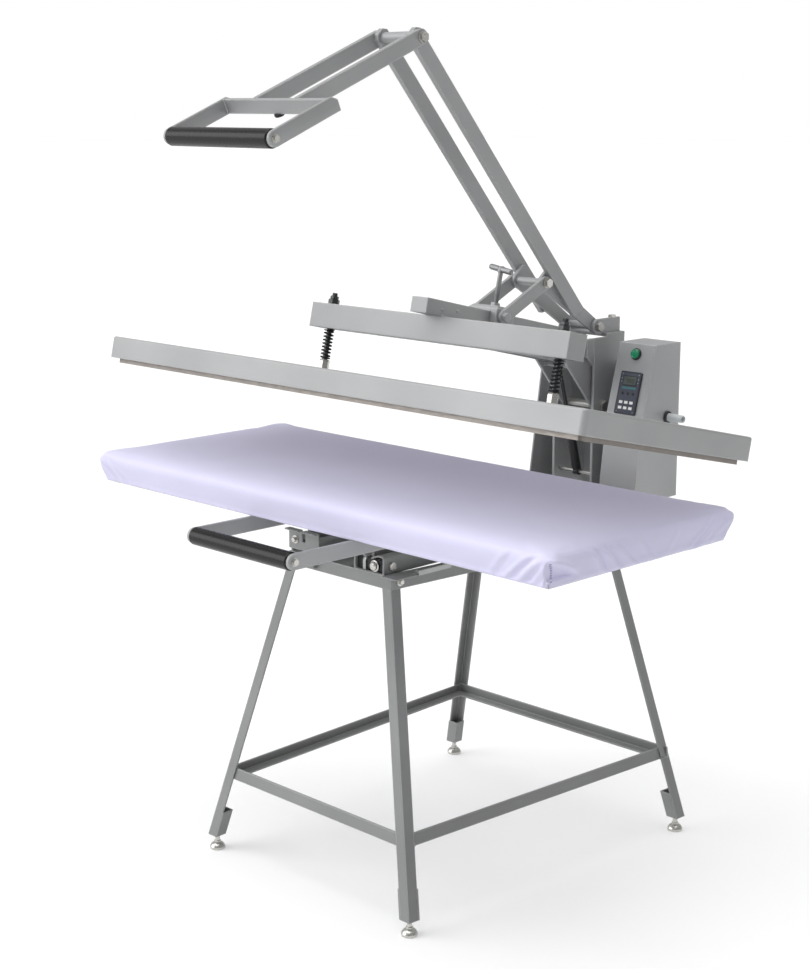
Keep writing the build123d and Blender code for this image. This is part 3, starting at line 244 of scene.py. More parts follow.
def bead(name, material):
    """A low round drop: a weld ripple, a rivet or a round screw head."""
    tree, size = start_tree(name, {"Radius": 0.004, "Rise": 0.5})
    ball = add(tree, "GeometryNodeMeshUVSphere", {"Segments": 14, "Rings": 8, "Radius": size["Radius"]})
    low = add(tree, "ShaderNodeCombineXYZ", {"X": 1.0, "Y": 1.0, "Z": size["Rise"]})
    flat = add(tree, "GeometryNodeTransform", {"Geometry": ball.outputs[0], "Scale": low.outputs[0]})
    return set_out(tree, size["Seeds"], flat.outputs[0], material)


def seeds(spots):
    """Bare points, each with the way that it faces."""
    mesh = bpy.data.meshes.new("seeds")
    mesh.from_pydata([tuple(at) for at, way in spots], [], [])
    ways = mesh.attributes.new("way", "FLOAT_VECTOR", "POINT")
    for index, (at, way) in enumerate(spots):
        ways.data[index].vector = way
    return mesh


sharp_small = math.radians(35)  # small hardware keeps its edges crisp from this angle
sharp_plate = math.radians(50)
soften_from = math.radians(40)


def grow(name, tree, spots, body, slot, **sizes):
    """Runs a tree on its seeds with given sizes, and keeps the result as a plain piece."""
    piece = bpy.data.objects.new(name, seeds(spots))
    scene.collection.objects.link(piece)
    modifier = piece.modifiers.new("grow", "NODES")
    modifier.node_group = tree
    for item in tree.interface.items_tree:
        if item.in_out == "INPUT" and item.name in sizes:
            modifier[item.identifier] = sizes[item.name]
    piece.update_tag()
    bake = bpy.context.evaluated_depsgraph_get()
    mesh = bpy.data.meshes.new_from_object(piece.evaluated_get(bake))
    piece.modifiers.clear()
    piece.data = mesh
    mesh.shade_smooth()
    mesh.set_sharp_from_angle(angle=sharp_small)
    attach(piece, body)
    return piece


def touch(node, start, way):
    """Where a straight line from a point first meets a CAD node."""
    hit, place, _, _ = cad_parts[node].ray_cast(Vector(start), Vector(way).normalized())
    return place if hit else Vector(start)


def keep(name, shell, material, body, edge=0.0):
    """Makes finished mesh data a named piece with softened edges, on its body."""
    bmesh.ops.recalc_face_normals(shell, faces=shell.faces)
    mesh = bpy.data.meshes.new(name)
    shell.to_mesh(mesh)
    shell.free()
    mesh.materials.append(material)
    piece = bpy.data.objects.new(name, mesh)
    scene.collection.objects.link(piece)
    if edge:
        run_modifier(piece, "BEVEL", width=edge, segments=2, limit_method="ANGLE",
                     angle_limit=soften_from)
    piece.data.shade_smooth()
    piece.data.set_sharp_from_angle(angle=sharp_plate)
    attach(piece, body)
    return piece


def run_modifier(piece, kind, **settings):
    """Applies one modifier to a mesh."""
    modifier = piece.modifiers.new(kind.lower(), kind)
    for name, value in settings.items():
        setattr(modifier, name, value)
    bake = bpy.context.evaluated_depsgraph_get()
    mesh = bpy.data.meshes.new_from_object(piece.evaluated_get(bake))
    piece.modifiers.remove(modifier)
    piece.data = mesh


def cut_flat(outline, low_x, high_x, shell=None):
    """Plate cut to an outline in Y and Z, between two places across X."""
    shell = shell or bmesh.new()
    near = [shell.verts.new((low_x, y, z)) for y, z in outline]
    far = [shell.verts.new((high_x, y, z)) for y, z in outline]
    shell.faces.new(near)
    shell.faces.new(list(reversed(far)))
    for index, vertex in enumerate(near):
        beside = (index + 1) % len(near)
        shell.faces.new((vertex, far[index], far[beside], near[beside]))
    return shell


def turned(profile, foot, way, shell=None, steps=32):
    """Lathe work: pairs of height and radius from a foot, along the way that it points."""
    shell = shell or bmesh.new()
    way = Vector(way).normalized()
    out = way.orthogonal().normalized()
    across = way.cross(out)
    rows = []
    for height, radius in profile:
        row = []
        for index in range(steps):
            angle = 2 * math.pi * index / steps
            spread = out * (radius * math.cos(angle)) + across * (radius * math.sin(angle))
            row.append(shell.verts.new(Vector(foot) + way * height + spread))
        rows.append(row)
    for low, high in zip(rows, rows[1:]):
        for index, vertex in enumerate(low):
            beside = (index + 1) % steps
            shell.faces.new((vertex, low[beside], high[beside], high[index]))
    shell.faces.new(list(reversed(rows[0])))
    shell.faces.new(rows[-1])
    return shell


# Slide front: a plate bolted over the left housing's mouth, a bent spring with a domed bolt and
# ring in the right one, galvanised sheet between them, and a ribbed strip on the right rail.
galvanised = worked_metal("galvanised sheet", "#AFB1B0", "#979998", (0.34, 0.48), 0.006,
                          (1.0, 1.0, 1.0), 0.1)
front_face = -0.2875
plate_thick = 0.0035
mouth_plate = (-0.148, -0.052, 0.722, 0.768)
mouth_lip = 0.016
notch_left, notch_right, notch_z = -0.1052, -0.0948, 0.7412  # clears the runner as it comes out
rail_top = 0.7104
tooth_root, tooth_tip = 0.7195, 0.7215
rib_pitch = 0.0075
rib_start, rib_count = -0.2300, 13


def rect(low_y, high_y, low_z, high_z):
    """A rectangle in Y and Z."""
    return ((low_y, low_z), (high_y, low_z), (high_y, high_z), (low_y, high_z))


low_x, high_x, low_z, high_z = mouth_plate
notched = ((low_x, low_z), (high_x, low_z), (high_x, high_z), (notch_right, high_z),
           (notch_right, notch_z), (notch_left, notch_z), (notch_left, high_z), (low_x, high_z))
shell = cut_flat(notched, -front_face, plate_thick - front_face)
bmesh.ops.rotate(shell, verts=shell.verts, matrix=Matrix.Rotation(-math.pi / 2, 3, "Z"))
for lip_left, lip_right in ((low_x, notch_left), (notch_right, high_x)):
    cut_flat(rect(front_face - mouth_lip, front_face, high_z - plate_thick, high_z),
             lip_left, lip_right, shell)
keep("slide_mouth_plate", shell, housing_coat, "stand", 0.0010)
spring = cut_flat(((-0.2845, 0.7140), (-0.2828, 0.7140), (-0.2828, 0.7330), (-0.2792, 0.7420),
                   (-0.2806, 0.7428), (-0.2845, 0.7335)), 0.079, 0.088)
keep("slide_catch_spring", spring, galvanised, "stand", 0.0005)
# Painted shade: a black sheet just inside the right housing's mouth stands for the shadow deep in the
# mouth.
mouth_shade_black = powder_coat("black sheet as painted mouth shade", "#1E1F21", "#27282A", "#3A3B3D")
mouth_shade_sheet = cut_flat(rect(-0.2818, -0.2803, 0.7142, 0.7414), 0.0608, 0.1392)
keep("slide_mouth_shade", mouth_shade_sheet, mouth_shade_black, "stand", 0.0004)
keep("slide_ring", turned(((0.0, 0.0115), (0.0008, 0.0125), (0.0022, 0.0125), (0.0030, 0.0115)),
                          (0.1165, -0.2845, 0.7280), (0, -1, 0)), zinc_plate, "stand")
keep("slide_dome_bolt", turned(((0.0, 0.0095), (0.0030, 0.0095), (0.0052, 0.0085), (0.0066, 0.0060),
                                (0.0072, 0.0020)), (0.1165, -0.2872, 0.7280), (0, -1, 0)),
     zinc_plate, "stand")
between = cut_flat(rect(-0.2860, -0.1200, rail_top, 0.7122), -0.0545, 0.0545)
keep("slide_sheet", between, galvanised, "stand", 0.0004)
lip = cut_flat(rect(-0.2960, -0.2350, 0.7103, 0.7128), 0.1455, 0.1900)
keep("slide_lip", lip, stand_coat, "stand", 0.0006)
teeth = []
for index in range(rib_count):
    y = rib_start + index * rib_pitch
    teeth += [(y, tooth_root), (y + 0.0012, tooth_tip), (y + 0.0050, tooth_tip), (y + 0.0062, tooth_root)]
strip = cut_flat([(rib_start, rail_top)] + teeth + [(teeth[-1][0], rail_top)], 0.1790, 0.1905)
keep("slide_guide_strip", strip, galvanised, "stand")
block_at = touch("top_rails", (-0.075, -0.40, 0.697), (0, 1, 0))
catch = cut_flat(rect(block_at.y - 0.012, block_at.y, 0.6890, 0.7035), -0.083, -0.067)
keep("slide_catch_block", catch, stand_coat, "stand", 0.0012)

screw_tree = hex_screw("zinc hexagon screws", zinc_plate)
rail_spot = touch("top_rails", (0.40, -0.258, 0.698), (-1, 0, 0))
grow("slide_screws", screw_tree, [
    ((-0.126, front_face - plate_thick, 0.744), (0, -1, 0)),
    (rail_spot, (1, 0, 0)),
    (touch("top_rails", (-0.108, -0.40, 0.695), (0, 1, 0)), (0, -1, 0)),
], "stand", "zinc", Across=0.011, Height=0.0055, Washer=0.0095, Rim=0.0014)
shoe_spots = []
rivet_high, rivet_low = 0.070, 0.052
for x, y in ((0.3180, -0.60), (-0.3180, -0.60)):
    shoe_spots.append((touch("leg_shoes", (x, y, rivet_high), (0, 1, 0)), (0, -1, 0)))
    shoe_spots.append((touch("leg_shoes", (x * 0.99, y, rivet_low), (0, 1, 0)), (0, -1, 0)))
for y in (-0.384, 0.460):
    shoe_spots.append((touch("leg_shoes", (0.60, y, rivet_high), (-1, 0, 0)), (1, 0, 0)))
rivet_tree = bead("shoe rivets", stand_coat)
grow("shoe_rivets", rivet_tree, shoe_spots, "stand", "stand_paint", Radius=0.0030, Rise=0.5)


# Table: a flat board on two crossbars and runners, with a pull handle of two flat bars and a
# round grip at the front.
coat(galvanised, "table_board")
coat(housing_coat, "table_frame")


def moulded(name, colour, tint, rough, grain, bump, **even):
    """Moulded plastic or rubber: an even body with a fine skin left by its mould."""
    material, tree, shader, place = start_finish(name, **even)
    cloud = add(tree, "ShaderNodeTexNoise", {"Vector": place, "Scale": 30.0, "Detail": 3.0})
    tone = add(tree, "ShaderNodeMix", {0: cloud.outputs[0], 6: linear(colour), 7: linear(tint)},
               data_type="RGBA")
    skin = add(tree, "ShaderNodeTexNoise", {"Vector": place, "Scale": 1 / grain, "Detail": 2.0})
    gloss = add(tree, "ShaderNodeMapRange", {0: skin.outputs[0], 1: 0.3, 2: 0.7, 3: rough[0], 4: rough[1]})
    soft = add(tree, "ShaderNodeBevel", {"Radius": 0.0005}, samples=3)
    relief = add(tree, "ShaderNodeBump", {"Strength": bump, "Distance": 0.0001,
                                          "Height": skin.outputs[0], "Normal": soft.outputs[0]})
    tree.links.new(tone.outputs[2], shader.inputs["Base Color"])
    tree.links.new(gloss.outputs[0], shader.inputs["Roughness"])
    tree.links.new(relief.outputs[0], shader.inputs["Normal"])
    return material


grip_rubber = moulded("satin black grip sleeve", "#0B0B0C", "#101011", (0.25, 0.29), 0.003, 0.02,
                      IOR=1.5, Specular_IOR_Level=0.32)
coat(grip_rubber, "pull_grip", "top_grip")


# Padded cover: a felt pad on the board under a tight lavender cotton cover. The cover is drawn
# down over the edges, gathered under the board, and folded and sewn by hand at its corners.
pad_half_width = 0.700
pad_front = -0.408
pad_back = 0.168
pad_corner = 0.020
pad_levels = (
    (0.8100, 0.0740), (0.8066, 0.0700), (0.8062, 0.0300), (0.8066, 0.0200), (0.8100, 0.0135),
    (0.8180, 0.0095), (0.8300, 0.0055), (0.8420, 0.0025), (0.8530, 0.0008), (0.8610, 0.0012),
    (0.8670, 0.0042), (0.8710, 0.0100), (0.8735, 0.0230), (0.8750, 0.0500), (0.8760, 0.1000),
)
pad_voxel = 0.006
pad_swell = 0.004
corner_top = 0.864
cloth_frames = 20
cloth_pinned = 0.813
cloth_pressure = 4.0
board_reach = (0.6803, -0.3883, 0.1483)  # the board's half width, front and back
board_top = 0.8184
board_bottom = 0.8066
board_middle = 0.8125
hem_width = 0.0700
wall_top = 0.8220
wall_inset = 0.0170
wall_clear = 0.0030
right_side = 0.66  # folds and pleats lie past this X, and past these two values of Y
front_side = -0.37
fold_end = -0.28
wave_turn = 0.314  # a wave texture's scale for one thread in each pitch
cloth_colour = "#DBD9F2"
cloth_shade = "#D1CFEA"
thread_pitch = 0.0018  # the real weave is about 0.4 mm, drawn coarser so that it shows


def rounded_ring(half_x, low_y, high_y, radius, steps):
    """Points round a rectangle with round corners."""
    centres = ((half_x, high_y, 0), (-half_x, high_y, 90), (-half_x, low_y, 180), (half_x, low_y, 270))
    points = []
    for x, y, turn in centres:
        middle = (x - math.copysign(radius, x), y - (radius if y == high_y else -radius))
        for step in range(steps + 1):
            angle = math.radians(turn + 90 * step / steps)
            points.append((middle[0] + radius * math.cos(angle), middle[1] + radius * math.sin(angle)))
    return points


def loft_rings(rings):
    """A closed shell through rings of equal counts, with flat ends."""
    shell = bmesh.new()
    rows = [[shell.verts.new(point) for point in ring] for ring in rings]
    for low, high in zip(rows, rows[1:]):
        for index, vertex in enumerate(low):
            beside = (index + 1) % len(low)
            shell.faces.new((vertex, low[beside], high[beside], high[index]))
    shell.faces.new(reversed(rows[0]))
    shell.faces.new(rows[-1])
    return shell


def woven_cotton():
    """Close plain weave with a soft nap, and the slow tints that washing leaves."""
    material, tree, shader, place = start_finish("lavender cotton", Sheen_Weight=0.25,
                                                 Sheen_Roughness=0.5, Roughness=0.85)
    cloud = add(tree, "ShaderNodeTexNoise", {"Vector": place, "Scale": 7.0, "Detail": 4.0})
    tone = add(tree, "ShaderNodeMix",
               {0: cloud.outputs[0], 6: linear(cloth_colour), 7: linear(cloth_shade)}, data_type="RGBA")
    across = add(tree, "ShaderNodeTexWave", {"Vector": place, "Scale": wave_turn / thread_pitch,
                                             "Distortion": 0.6, "Detail": 1.0}, bands_direction="X")
    along = add(tree, "ShaderNodeTexWave", {"Vector": place, "Scale": wave_turn / thread_pitch,
                                            "Distortion": 0.6, "Detail": 1.0}, bands_direction="Y")
    weave = add(tree, "ShaderNodeMath", {0: across.outputs[1], 1: along.outputs[1]}, operation="ADD")
    slub = add(tree, "ShaderNodeTexNoise", {"Vector": place, "Scale": 160.0, "Detail": 3.0})
    height = add(tree, "ShaderNodeMath", {0: weave.outputs[0], 1: slub.outputs[0]}, operation="ADD")
    relief = add(tree, "ShaderNodeBump", {"Strength": 0.2, "Distance": 0.0003, "Height": height.outputs[0]})
    tree.links.new(tone.outputs[2], shader.inputs["Base Color"])
    tree.links.new(relief.outputs[0], shader.inputs["Normal"])
    return material


def swell(piece, pinned_below, limit):
    """Fills the cover from inside for a few frames of cloth, and caps how far it may move."""
    rest = [vertex.co.copy() for vertex in piece.data.vertices]
    held = piece.vertex_groups.new(name="held")
    held.add([index for index, point in enumerate(rest) if point.z < pinned_below], 1.0, "REPLACE")
    cloth = piece.modifiers.new("cloth", "CLOTH")
    cloth.settings.use_pressure = True
    cloth.settings.uniform_pressure_force = cloth_pressure
    cloth.settings.effector_weights.gravity = 0.0
    cloth.settings.vertex_group_mass = "held"
    cloth.point_cache.frame_end = cloth_frames
    for number in range(1, cloth_frames + 1):
        scene.frame_set(number)
    moved = bpy.data.meshes.new_from_object(piece.evaluated_get(bpy.context.evaluated_depsgraph_get()))
    piece.modifiers.clear()
    piece.vertex_groups.clear()
    for vertex, start in zip(moved.vertices, rest):
        shift = vertex.co - start
        if shift.length > limit:
            vertex.co = start + shift * (limit / shift.length)
    piece.data = moved
    scene.frame_set(1)


pad_middle = (pad_front + pad_back) / 2
pad_half_depth = (pad_back - pad_front) / 2
pad_rings = []
for level, inset in pad_levels:
    ring = rounded_ring(pad_half_width - inset, pad_front + inset, pad_back - inset, pad_corner, 8)
    pad_rings.append([(x, y, level) for x, y in ring])
pad_mesh = bpy.data.meshes.new("padded_cover")
pad_shell = loft_rings(pad_rings)
pad_shell.to_mesh(pad_mesh)
pad_shell.free()
cover = bpy.data.objects.new("padded_cover", pad_mesh)
scene.collection.objects.link(cover)
run_modifier(cover, "REMESH", mode="VOXEL", voxel_size=pad_voxel)
swell(cover, cloth_pinned, pad_swell)
run_modifier(cover, "SUBSURF", levels=1, render_levels=1)


def bell(value, middle, width):
    """A smooth hump, one at its middle."""
    return math.exp(-((value - middle) / width) ** 2)


def step(value, low, high):
    """Nothing below low, one above high, and smooth between them."""
    share = max(0.0, min(1.0, (value - low) / (high - low)))
    return share * share * (3.0 - 2.0 * share)


def drawn_in(point, normal):
    """How far the gathered corners and the drawn lower edge move a point of the cover."""
    side = math.copysign(1.0, point.x)
    end = -1.0 if point.y < pad_middle else 1.0
    from_x = pad_half_width - abs(point.x)
    from_y = pad_half_depth - abs(point.y - pad_middle)
    along = max(from_x, from_y)
    near = math.exp(-along / 0.085)
    on_edge = math.exp(-max(0.0, min(from_x, from_y)) / 0.03)
    fan = math.atan2(corner_top - point.z + 0.014, along + 0.012)
    ripple = math.sin(fan * 15 + 3.0 * noise.noise(Vector((side * 3, end * 5, along * 12))))
    gather = 0.0026 * near * on_edge * ripple * step(along, 0.004, 0.03)
    slow = noise.noise(Vector((point.x * 7, point.y * 7, point.z * 22 + side * 3)))
    hem = math.exp(-max(0.0, point.z - 0.807) / 0.014)
    rim = 0.0030 * noise.noise(Vector((point.x * 15, point.y * 15, 4.0))) * hem * on_edge
    out = Vector((side, end, 0.0)).normalized()
    ear = math.exp(-max(0.0, along) / 0.030) * on_edge
    ear *= 0.0120 * step(point.z, 0.812, 0.858) * (1.0 - 0.6 * step(point.z, 0.862, 0.876)) - 0.0020
    ear *= 1.0 if end > 0.0 and side > 0.0 else 0.15
    return normal * (gather + 0.0016 * slow * on_edge + rim) + out * ear


def corner_fold(point):
    """The envelope fold on the near corner's right side: a sunk flap under a rolled edge."""
    if point.x < right_side or point.y > fold_end:
        return 0.0
    along = point.y - pad_front
    line = 0.863 - 0.42 * max(0.0, along - 0.010)
    below = line - point.z
    start = step(along, 0.003, 0.010)
    fade = 1.0 - step(along, 0.060, 0.105)
    return start * fade * (-0.0125 * step(below, 0.0, 0.008) + 0.0060 * bell(below, -0.005, 0.007))


def pleats(across, level, lines):
    """Slack pleats that lean down a side of the cover from a few places."""
    total = 0.0
    for start, lean, deep in lines:
        line = start + lean * (level - 0.835)
        total += deep * (bell(across, line, 0.010) - 0.8 * bell(across, line + 0.015, 0.009))
    return total * step(level, 0.806, 0.820) * (1.0 - step(level, 0.854, 0.874))


right_pleats = ((-0.262, -0.9, 0.0052), (-0.222, -1.2, 0.0042), (-0.180, -1.3, 0.0030),
                (-0.120, -1.0, 0.0024), (-0.040, 0.6, 0.0018), (0.045, 1.3, 0.0034),
                (0.085, 1.5, 0.0030))
front_pleats = ((0.560, 0.9, 0.0018), (0.606, 1.2, 0.0040), (0.640, 1.1, 0.0046), (0.668, 0.9, 0.0030),
                (-0.655, -0.9, 0.0030), (-0.625, -1.2, 0.0022))


cover.data.shade_smooth()
places = [vertex.co.copy() for vertex in cover.data.vertices]
normals = [item.vector.copy() for item in cover.data.vertex_normals]
for vertex, point, normal in zip(cover.data.vertices, places, normals):
    moved = point + drawn_in(point, normal)
    if point.x > right_side:
        fold = corner_fold(point) * step(point.z, 0.806, 0.822) + pleats(point.y, point.z, right_pleats)
        moved.x += fold * max(0.0, normal.x)
    if point.y < front_side:
        moved.y -= pleats(point.x, point.z, front_pleats) * max(0.0, -normal.y)
    reach_x, reach_front, reach_back = board_reach
    from_x = pad_half_width - abs(point.x)
    from_y = pad_half_depth - abs(point.y - pad_middle)
    if point.z < wall_top and min(from_x, from_y) < wall_inset:
        if from_x < from_y:
            moved.x = math.copysign(max(abs(moved.x), reach_x + wall_clear), moved.x)
        elif moved.y < pad_middle:
            moved.y = min(moved.y, reach_front - wall_clear)
        else:
            moved.y = max(moved.y, reach_back + wall_clear)
    inside = min(reach_x - abs(moved.x), moved.y - reach_front, reach_back - moved.y)
    if inside > 0.0:
        under = point.z < board_middle and inside < hem_width
        moved.z = min(moved.z, board_bottom) if under else max(moved.z, board_top)
    vertex.co = moved
cotton = woven_cotton()
cover.data.materials.clear()
cover.data.materials.append(cotton)
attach(cover, "table")
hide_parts("table_pad")


# Whip stitches in lavender thread close the near right corner of the cover. The thread is drawn
# darker than the cover: partly its own tint, partly painted shade in the stitches.
thread = moulded("sewing thread, darkened for painted shade", "#A39EBC", "#9893B2", (0.7, 0.8), 0.001, 0.3)
stitch_count = 8
stitch_foot = 0.8200
stitch_step = 0.0052
stitch_spots = []
for index in range(stitch_count):
    start = Vector((pad_half_width + 0.080, pad_front - 0.076, stitch_foot + index * stitch_step))
    hit, place, _, _ = cover.ray_cast(start, Vector((-1.0, 1.0, 0.0)).normalized())
    if hit:
        stitch_spots.append((place, (0.75, 0.75, 0.55)))
stitch_tree, stitch_size = start_tree("whip stitches", {"Radius": 0.0015, "Length": 3.0})
knot = add(stitch_tree, "GeometryNodeMeshUVSphere",
           {"Segments": 10, "Rings": 8, "Radius": stitch_size["Radius"]})
drawn = add(stitch_tree, "ShaderNodeCombineXYZ", {"X": 1.0, "Y": 1.0, "Z": stitch_size["Length"]})
strand = add(stitch_tree, "GeometryNodeTransform",
             {"Geometry": knot.outputs[0], "Scale": drawn.outputs[0]})
set_out(stitch_tree, stitch_size["Seeds"], strand.outputs[0], thread)
grow("corner_stitches", stitch_tree, stitch_spots, "table", "cover", Radius=0.0013, Length=3.0)


# Pull handle, column, head and lever: flat bars and folded sheet, ground at the welds and
# powder coated silver grey, a tone lighter than the stand.
# The last colour is the paler edge: partly rubbed paint, partly painted highlight.
body_coat = powder_coat("silver grey powder coat", "#A6A7A8", "#9D9E9F", "#E0E1E2")
coat(body_coat, "pull_bars", "column_left", "column_right", "column_back", "post_frame",
     "pivot_brackets", "centre_arm", "head_spine", "cross_beam", "head_gussets", "platen_tray",
     "rear_links", "long_arms", "forward_links", "fork_bars", "cross_flat", "handle_sides",
     "lever_spacers", "trunnion_block")
coat(zinc_plate, "pull_rod", "handle_rod", "lever_bolts")


# Head: the arm, drawn level, is turned up about its hinge. Two screws hold its end plug, and
# painted weld beads join the trunnion saddle and the cross beam to it.
head_turn = math.radians(-13.0)
head_hinge = Vector((0.0, 0.516, 0.962))


def on_head(x, y, z):
    """A place on the head, drawn level, after it is turned up."""
    turn = Matrix.Rotation(head_turn, 3, "X")
    return head_hinge + turn @ (Vector((x, y, z)) - head_hinge)


head_up = on_head(0, 0, 1) - on_head(0, 0, 0)
grow("arm_screws", bead("painted round screws", body_coat), [
    (on_head(0.024, -0.040, 1.108), (1, 0, 0)),
    (on_head(0.024, 0.008, 1.112), (1, 0, 0)),
], "head", "body_paint", Radius=0.0042, Rise=0.45)
weld_tree = bead("painted weld ripples", body_coat)
beam_ripples = 34
saddle_ripples = 24
head_welds = []
for index in range(beam_ripples):
    along = 0.050 * index / (beam_ripples - 1)
    for side in (1.0, -1.0):
        head_welds.append((on_head(side * 0.0245, -0.039 + along, 1.0945), (side * 0.7, 0, 0.7)))
for index in range(saddle_ripples):
    across = 0.044 * index / (saddle_ripples - 1)
    head_welds.append((on_head(-0.022 + across, 0.1125, 1.1285), (0, -0.7, 0.7)))
grow("head_welds", weld_tree, head_welds, "head", "body_paint", Radius=0.0024, Rise=0.8)


# Pressure screw: a turned stem with a rolled thread at its foot, and a bar driven through its
# top, with rounded ends, that has slipped a little to one side.
def thread_on(name, material):
    """A rolled thread: a ridge wound round a rod."""
    tree, size = start_tree(name, {"Radius": 0.0055, "Turns": 12.0, "Rise": 0.02, "Ridge": 0.0007})
    wound = add(tree, "GeometryNodeCurveSpiral", {"Resolution": 24, "Rotations": size["Turns"],
                                                  "Start Radius": size["Radius"],
                                                  "End Radius": size["Radius"], "Height": size["Rise"]})
    ridge = add(tree, "GeometryNodeCurvePrimitiveCircle", {"Resolution": 5, "Radius": size["Ridge"]})
    solid = add(tree, "GeometryNodeCurveToMesh",
                {"Curve": wound.outputs[0], "Profile Curve": ridge.outputs[0], "Fill Caps": True})
    return set_out(tree, size["Seeds"], solid.outputs[0], material)


screw_at = (0.0, 0.152)
bar_level = 1.2265
bar_half = 0.0345
bar_tilt = math.radians(-8.5)
screw = turned(((0.0, 0.0045), (0.0145, 0.0045), (0.0155, 0.0056), (0.0905, 0.0056), (0.0915, 0.0078),
                (0.1035, 0.0078), (0.1050, 0.0066)), on_head(*screw_at, 1.1285), head_up)
bar_way = Vector((math.cos(bar_tilt), 0.0, 0.0)) + head_up * math.sin(bar_tilt)
bar_foot = on_head(*screw_at, bar_level) - bar_way * bar_half
turned(((0.0, 0.0040), (0.0016, 0.0060), (0.0045, 0.0068), (2 * bar_half - 0.0045, 0.0068),
        (2 * bar_half - 0.0016, 0.0060), (2 * bar_half, 0.0040)), bar_foot, bar_way, screw)
satin_steel = worked_metal("turned steel, dull nickel", "#9C9D9E", "#8D8E8F", (0.42, 0.52), 0.003,
                           (1.0, 1.0, 1.0), 0.1)
hand_screw = keep("pressure_hand_screw", screw, satin_steel, "pressure_screw")
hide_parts("pressure_screw")
rod_thread = thread_on("rolled threads", satin_steel)
grow("pressure_screw_thread", rod_thread, [(on_head(*screw_at, 1.1515), head_up)], "pressure_screw",
     "zinc", Radius=0.0055, Turns=16.0, Rise=0.0240, Ridge=0.0006)


# Platen: a pressed tray over mineral wool and a cast aluminium plate that heat has browned.
coat(moulded("mineral wool", "#D9D6CC", "#C9C4B6", (0.9, 1.0), 0.004, 1.0), "insulation")
coat(worked_metal("heat browned aluminium", "#8C8783", "#77726E", (0.35, 0.5), 0.004,
                  (0.15, 1.0, 1.0), 0.2), "heating_plate")


# Springs, bumper and gas strut: black oxide spring wire, moulded rubber, black painted tube.
coat(worked_metal("black oxide spring wire", "#3A3B3E", "#2A2B2D", (0.28, 0.42), 0.002,
                  (1.0, 1.0, 1.0), 0.2), "platen_springs")
coat(moulded("black strut tube", "#1A1B1D", "#232427", (0.3, 0.4), 0.002, 0.2),
     "strut_cylinder", "strut_rod")


# Spring bolts: black rods in bright hexagon sockets on the tray, with blackened nuts over the
# beam on bright washers, and the rod's thread above them.
black_steel = worked_metal("blackened steel", "#5A5B5C", "#474849", (0.32, 0.45), 0.003,
                           (1.0, 1.0, 1.0), 0.1)
bolt_places = ((-0.350, -0.0135), (0.350, -0.0135))
rods = bmesh.new()
for x, y in bolt_places:
    turned(((0.0, 0.0060), (0.1775, 0.0060), (0.1790, 0.0050)), on_head(x, y, 0.9420), head_up, rods)
spring_rods = keep("spring_rods", rods, black_steel, "platen")
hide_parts("spring_bolts")
washer_tree = hex_screw("bright washers and sockets", zinc_plate)
dark_nuts = hex_screw("blackened nuts", black_steel)


def on_bolts(level):
    """Seeds on both spring bolts at a level of the head."""
    return [(on_head(x, y, level), head_up) for x, y in bolt_places]


grow("spring_sockets", washer_tree, on_bolts(0.9412), "platen", "zinc",
     Across=0.0215, Height=0.0190, Washer=0.0170, Rim=0.0025)
grow("beam_washers", bead("beam washers", zinc_plate), on_bolts(1.0955),
     "platen", "zinc", Radius=0.0150, Rise=0.07)
grow("beam_nuts", dark_nuts, on_bolts(1.0962),
     "platen", "spring_steel", Across=0.0235, Height=0.0085, Washer=0.0116, Rim=0.0006)
grow("beam_jam_nuts", dark_nuts, on_bolts(1.1066),
     "platen", "spring_steel", Across=0.0175, Height=0.0060, Washer=0.0086, Rim=0.0006)
bolt_thread = thread_on("spring rod threads", black_steel)
grow("spring_rod_threads", bolt_thread, on_bolts(1.1140),
     "platen", "spring_steel", Radius=0.0058, Turns=4.0, Rise=0.0055, Ridge=0.0006)


# Post ears: short plates in front of the posts that guard the hinge.
ears = bmesh.new()
ear_outline = ((0.4540, 1.0860), (0.4797, 1.0620), (0.4797, 1.1275), (0.4540, 1.1275))
for low_x, high_x in ((0.0505, 0.0618), (-0.0618, -0.0505)):
    cut_flat(ear_outline, low_x, high_x, ears)
keep("post_ears", ears, body_coat, "stand", 0.0008)


# Upper handle: the side bars end just behind the cross flat, with their rear corners clipped,
# and painted weld beads at the mitres. A low rubber button stops it on the beam.
knee_at = (-0.100, 1.800)
handle_drop = math.radians(22.4)
side_bar_inside = 0.1530
side_bar_outside = 0.1590


def on_handle(reach, height):
    """Y and Z of a place on the handle, from the knee along its bars."""
    y = knee_at[0] - reach * math.cos(handle_drop) - height * math.sin(handle_drop)
    z = knee_at[1] - reach * math.sin(handle_drop) + height * math.cos(handle_drop)
    return y, z


half_bar = 0.0165
bar_start = 0.3420
mitre_reach = 0.3575
eye_reach = 0.51485
side_outline = [(bar_start, 0.0060), (0.3560, half_bar), (eye_reach, half_bar)]
for index in range(1, 12):
    angle = math.pi / 2 - math.pi * index / 12
    side_outline.append((eye_reach + half_bar * math.cos(angle), half_bar * math.sin(angle)))
side_outline += [(eye_reach, -half_bar), (bar_start, -half_bar)]
side_places = [on_handle(*place) for place in side_outline]
bars = cut_flat(side_places, side_bar_inside, side_bar_outside)
cut_flat(side_places, -side_bar_outside, -side_bar_inside, bars)
side_bars = keep("handle_side_bars", bars, body_coat, "handle", 0.0006)
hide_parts("handle_sides")
mitre_ripples = 13
handle_welds = []
for side in (-1.0, 1.0):
    for index in range(mitre_ripples):
        rise = -0.0135 + 0.027 * index / (mitre_ripples - 1)
        for reach in (mitre_reach, 0.3665):
            y, z = on_handle(reach, rise)
            handle_welds.append(((side * 0.1522, y, z), (-side, 0, 0)))
        y, z = on_handle(mitre_reach, rise)
        handle_welds.append(((side * 0.0555, y, z), (0, 1, 0)))
        handle_welds.append(((side * 0.0665, y, z), (0, 1, 0)))
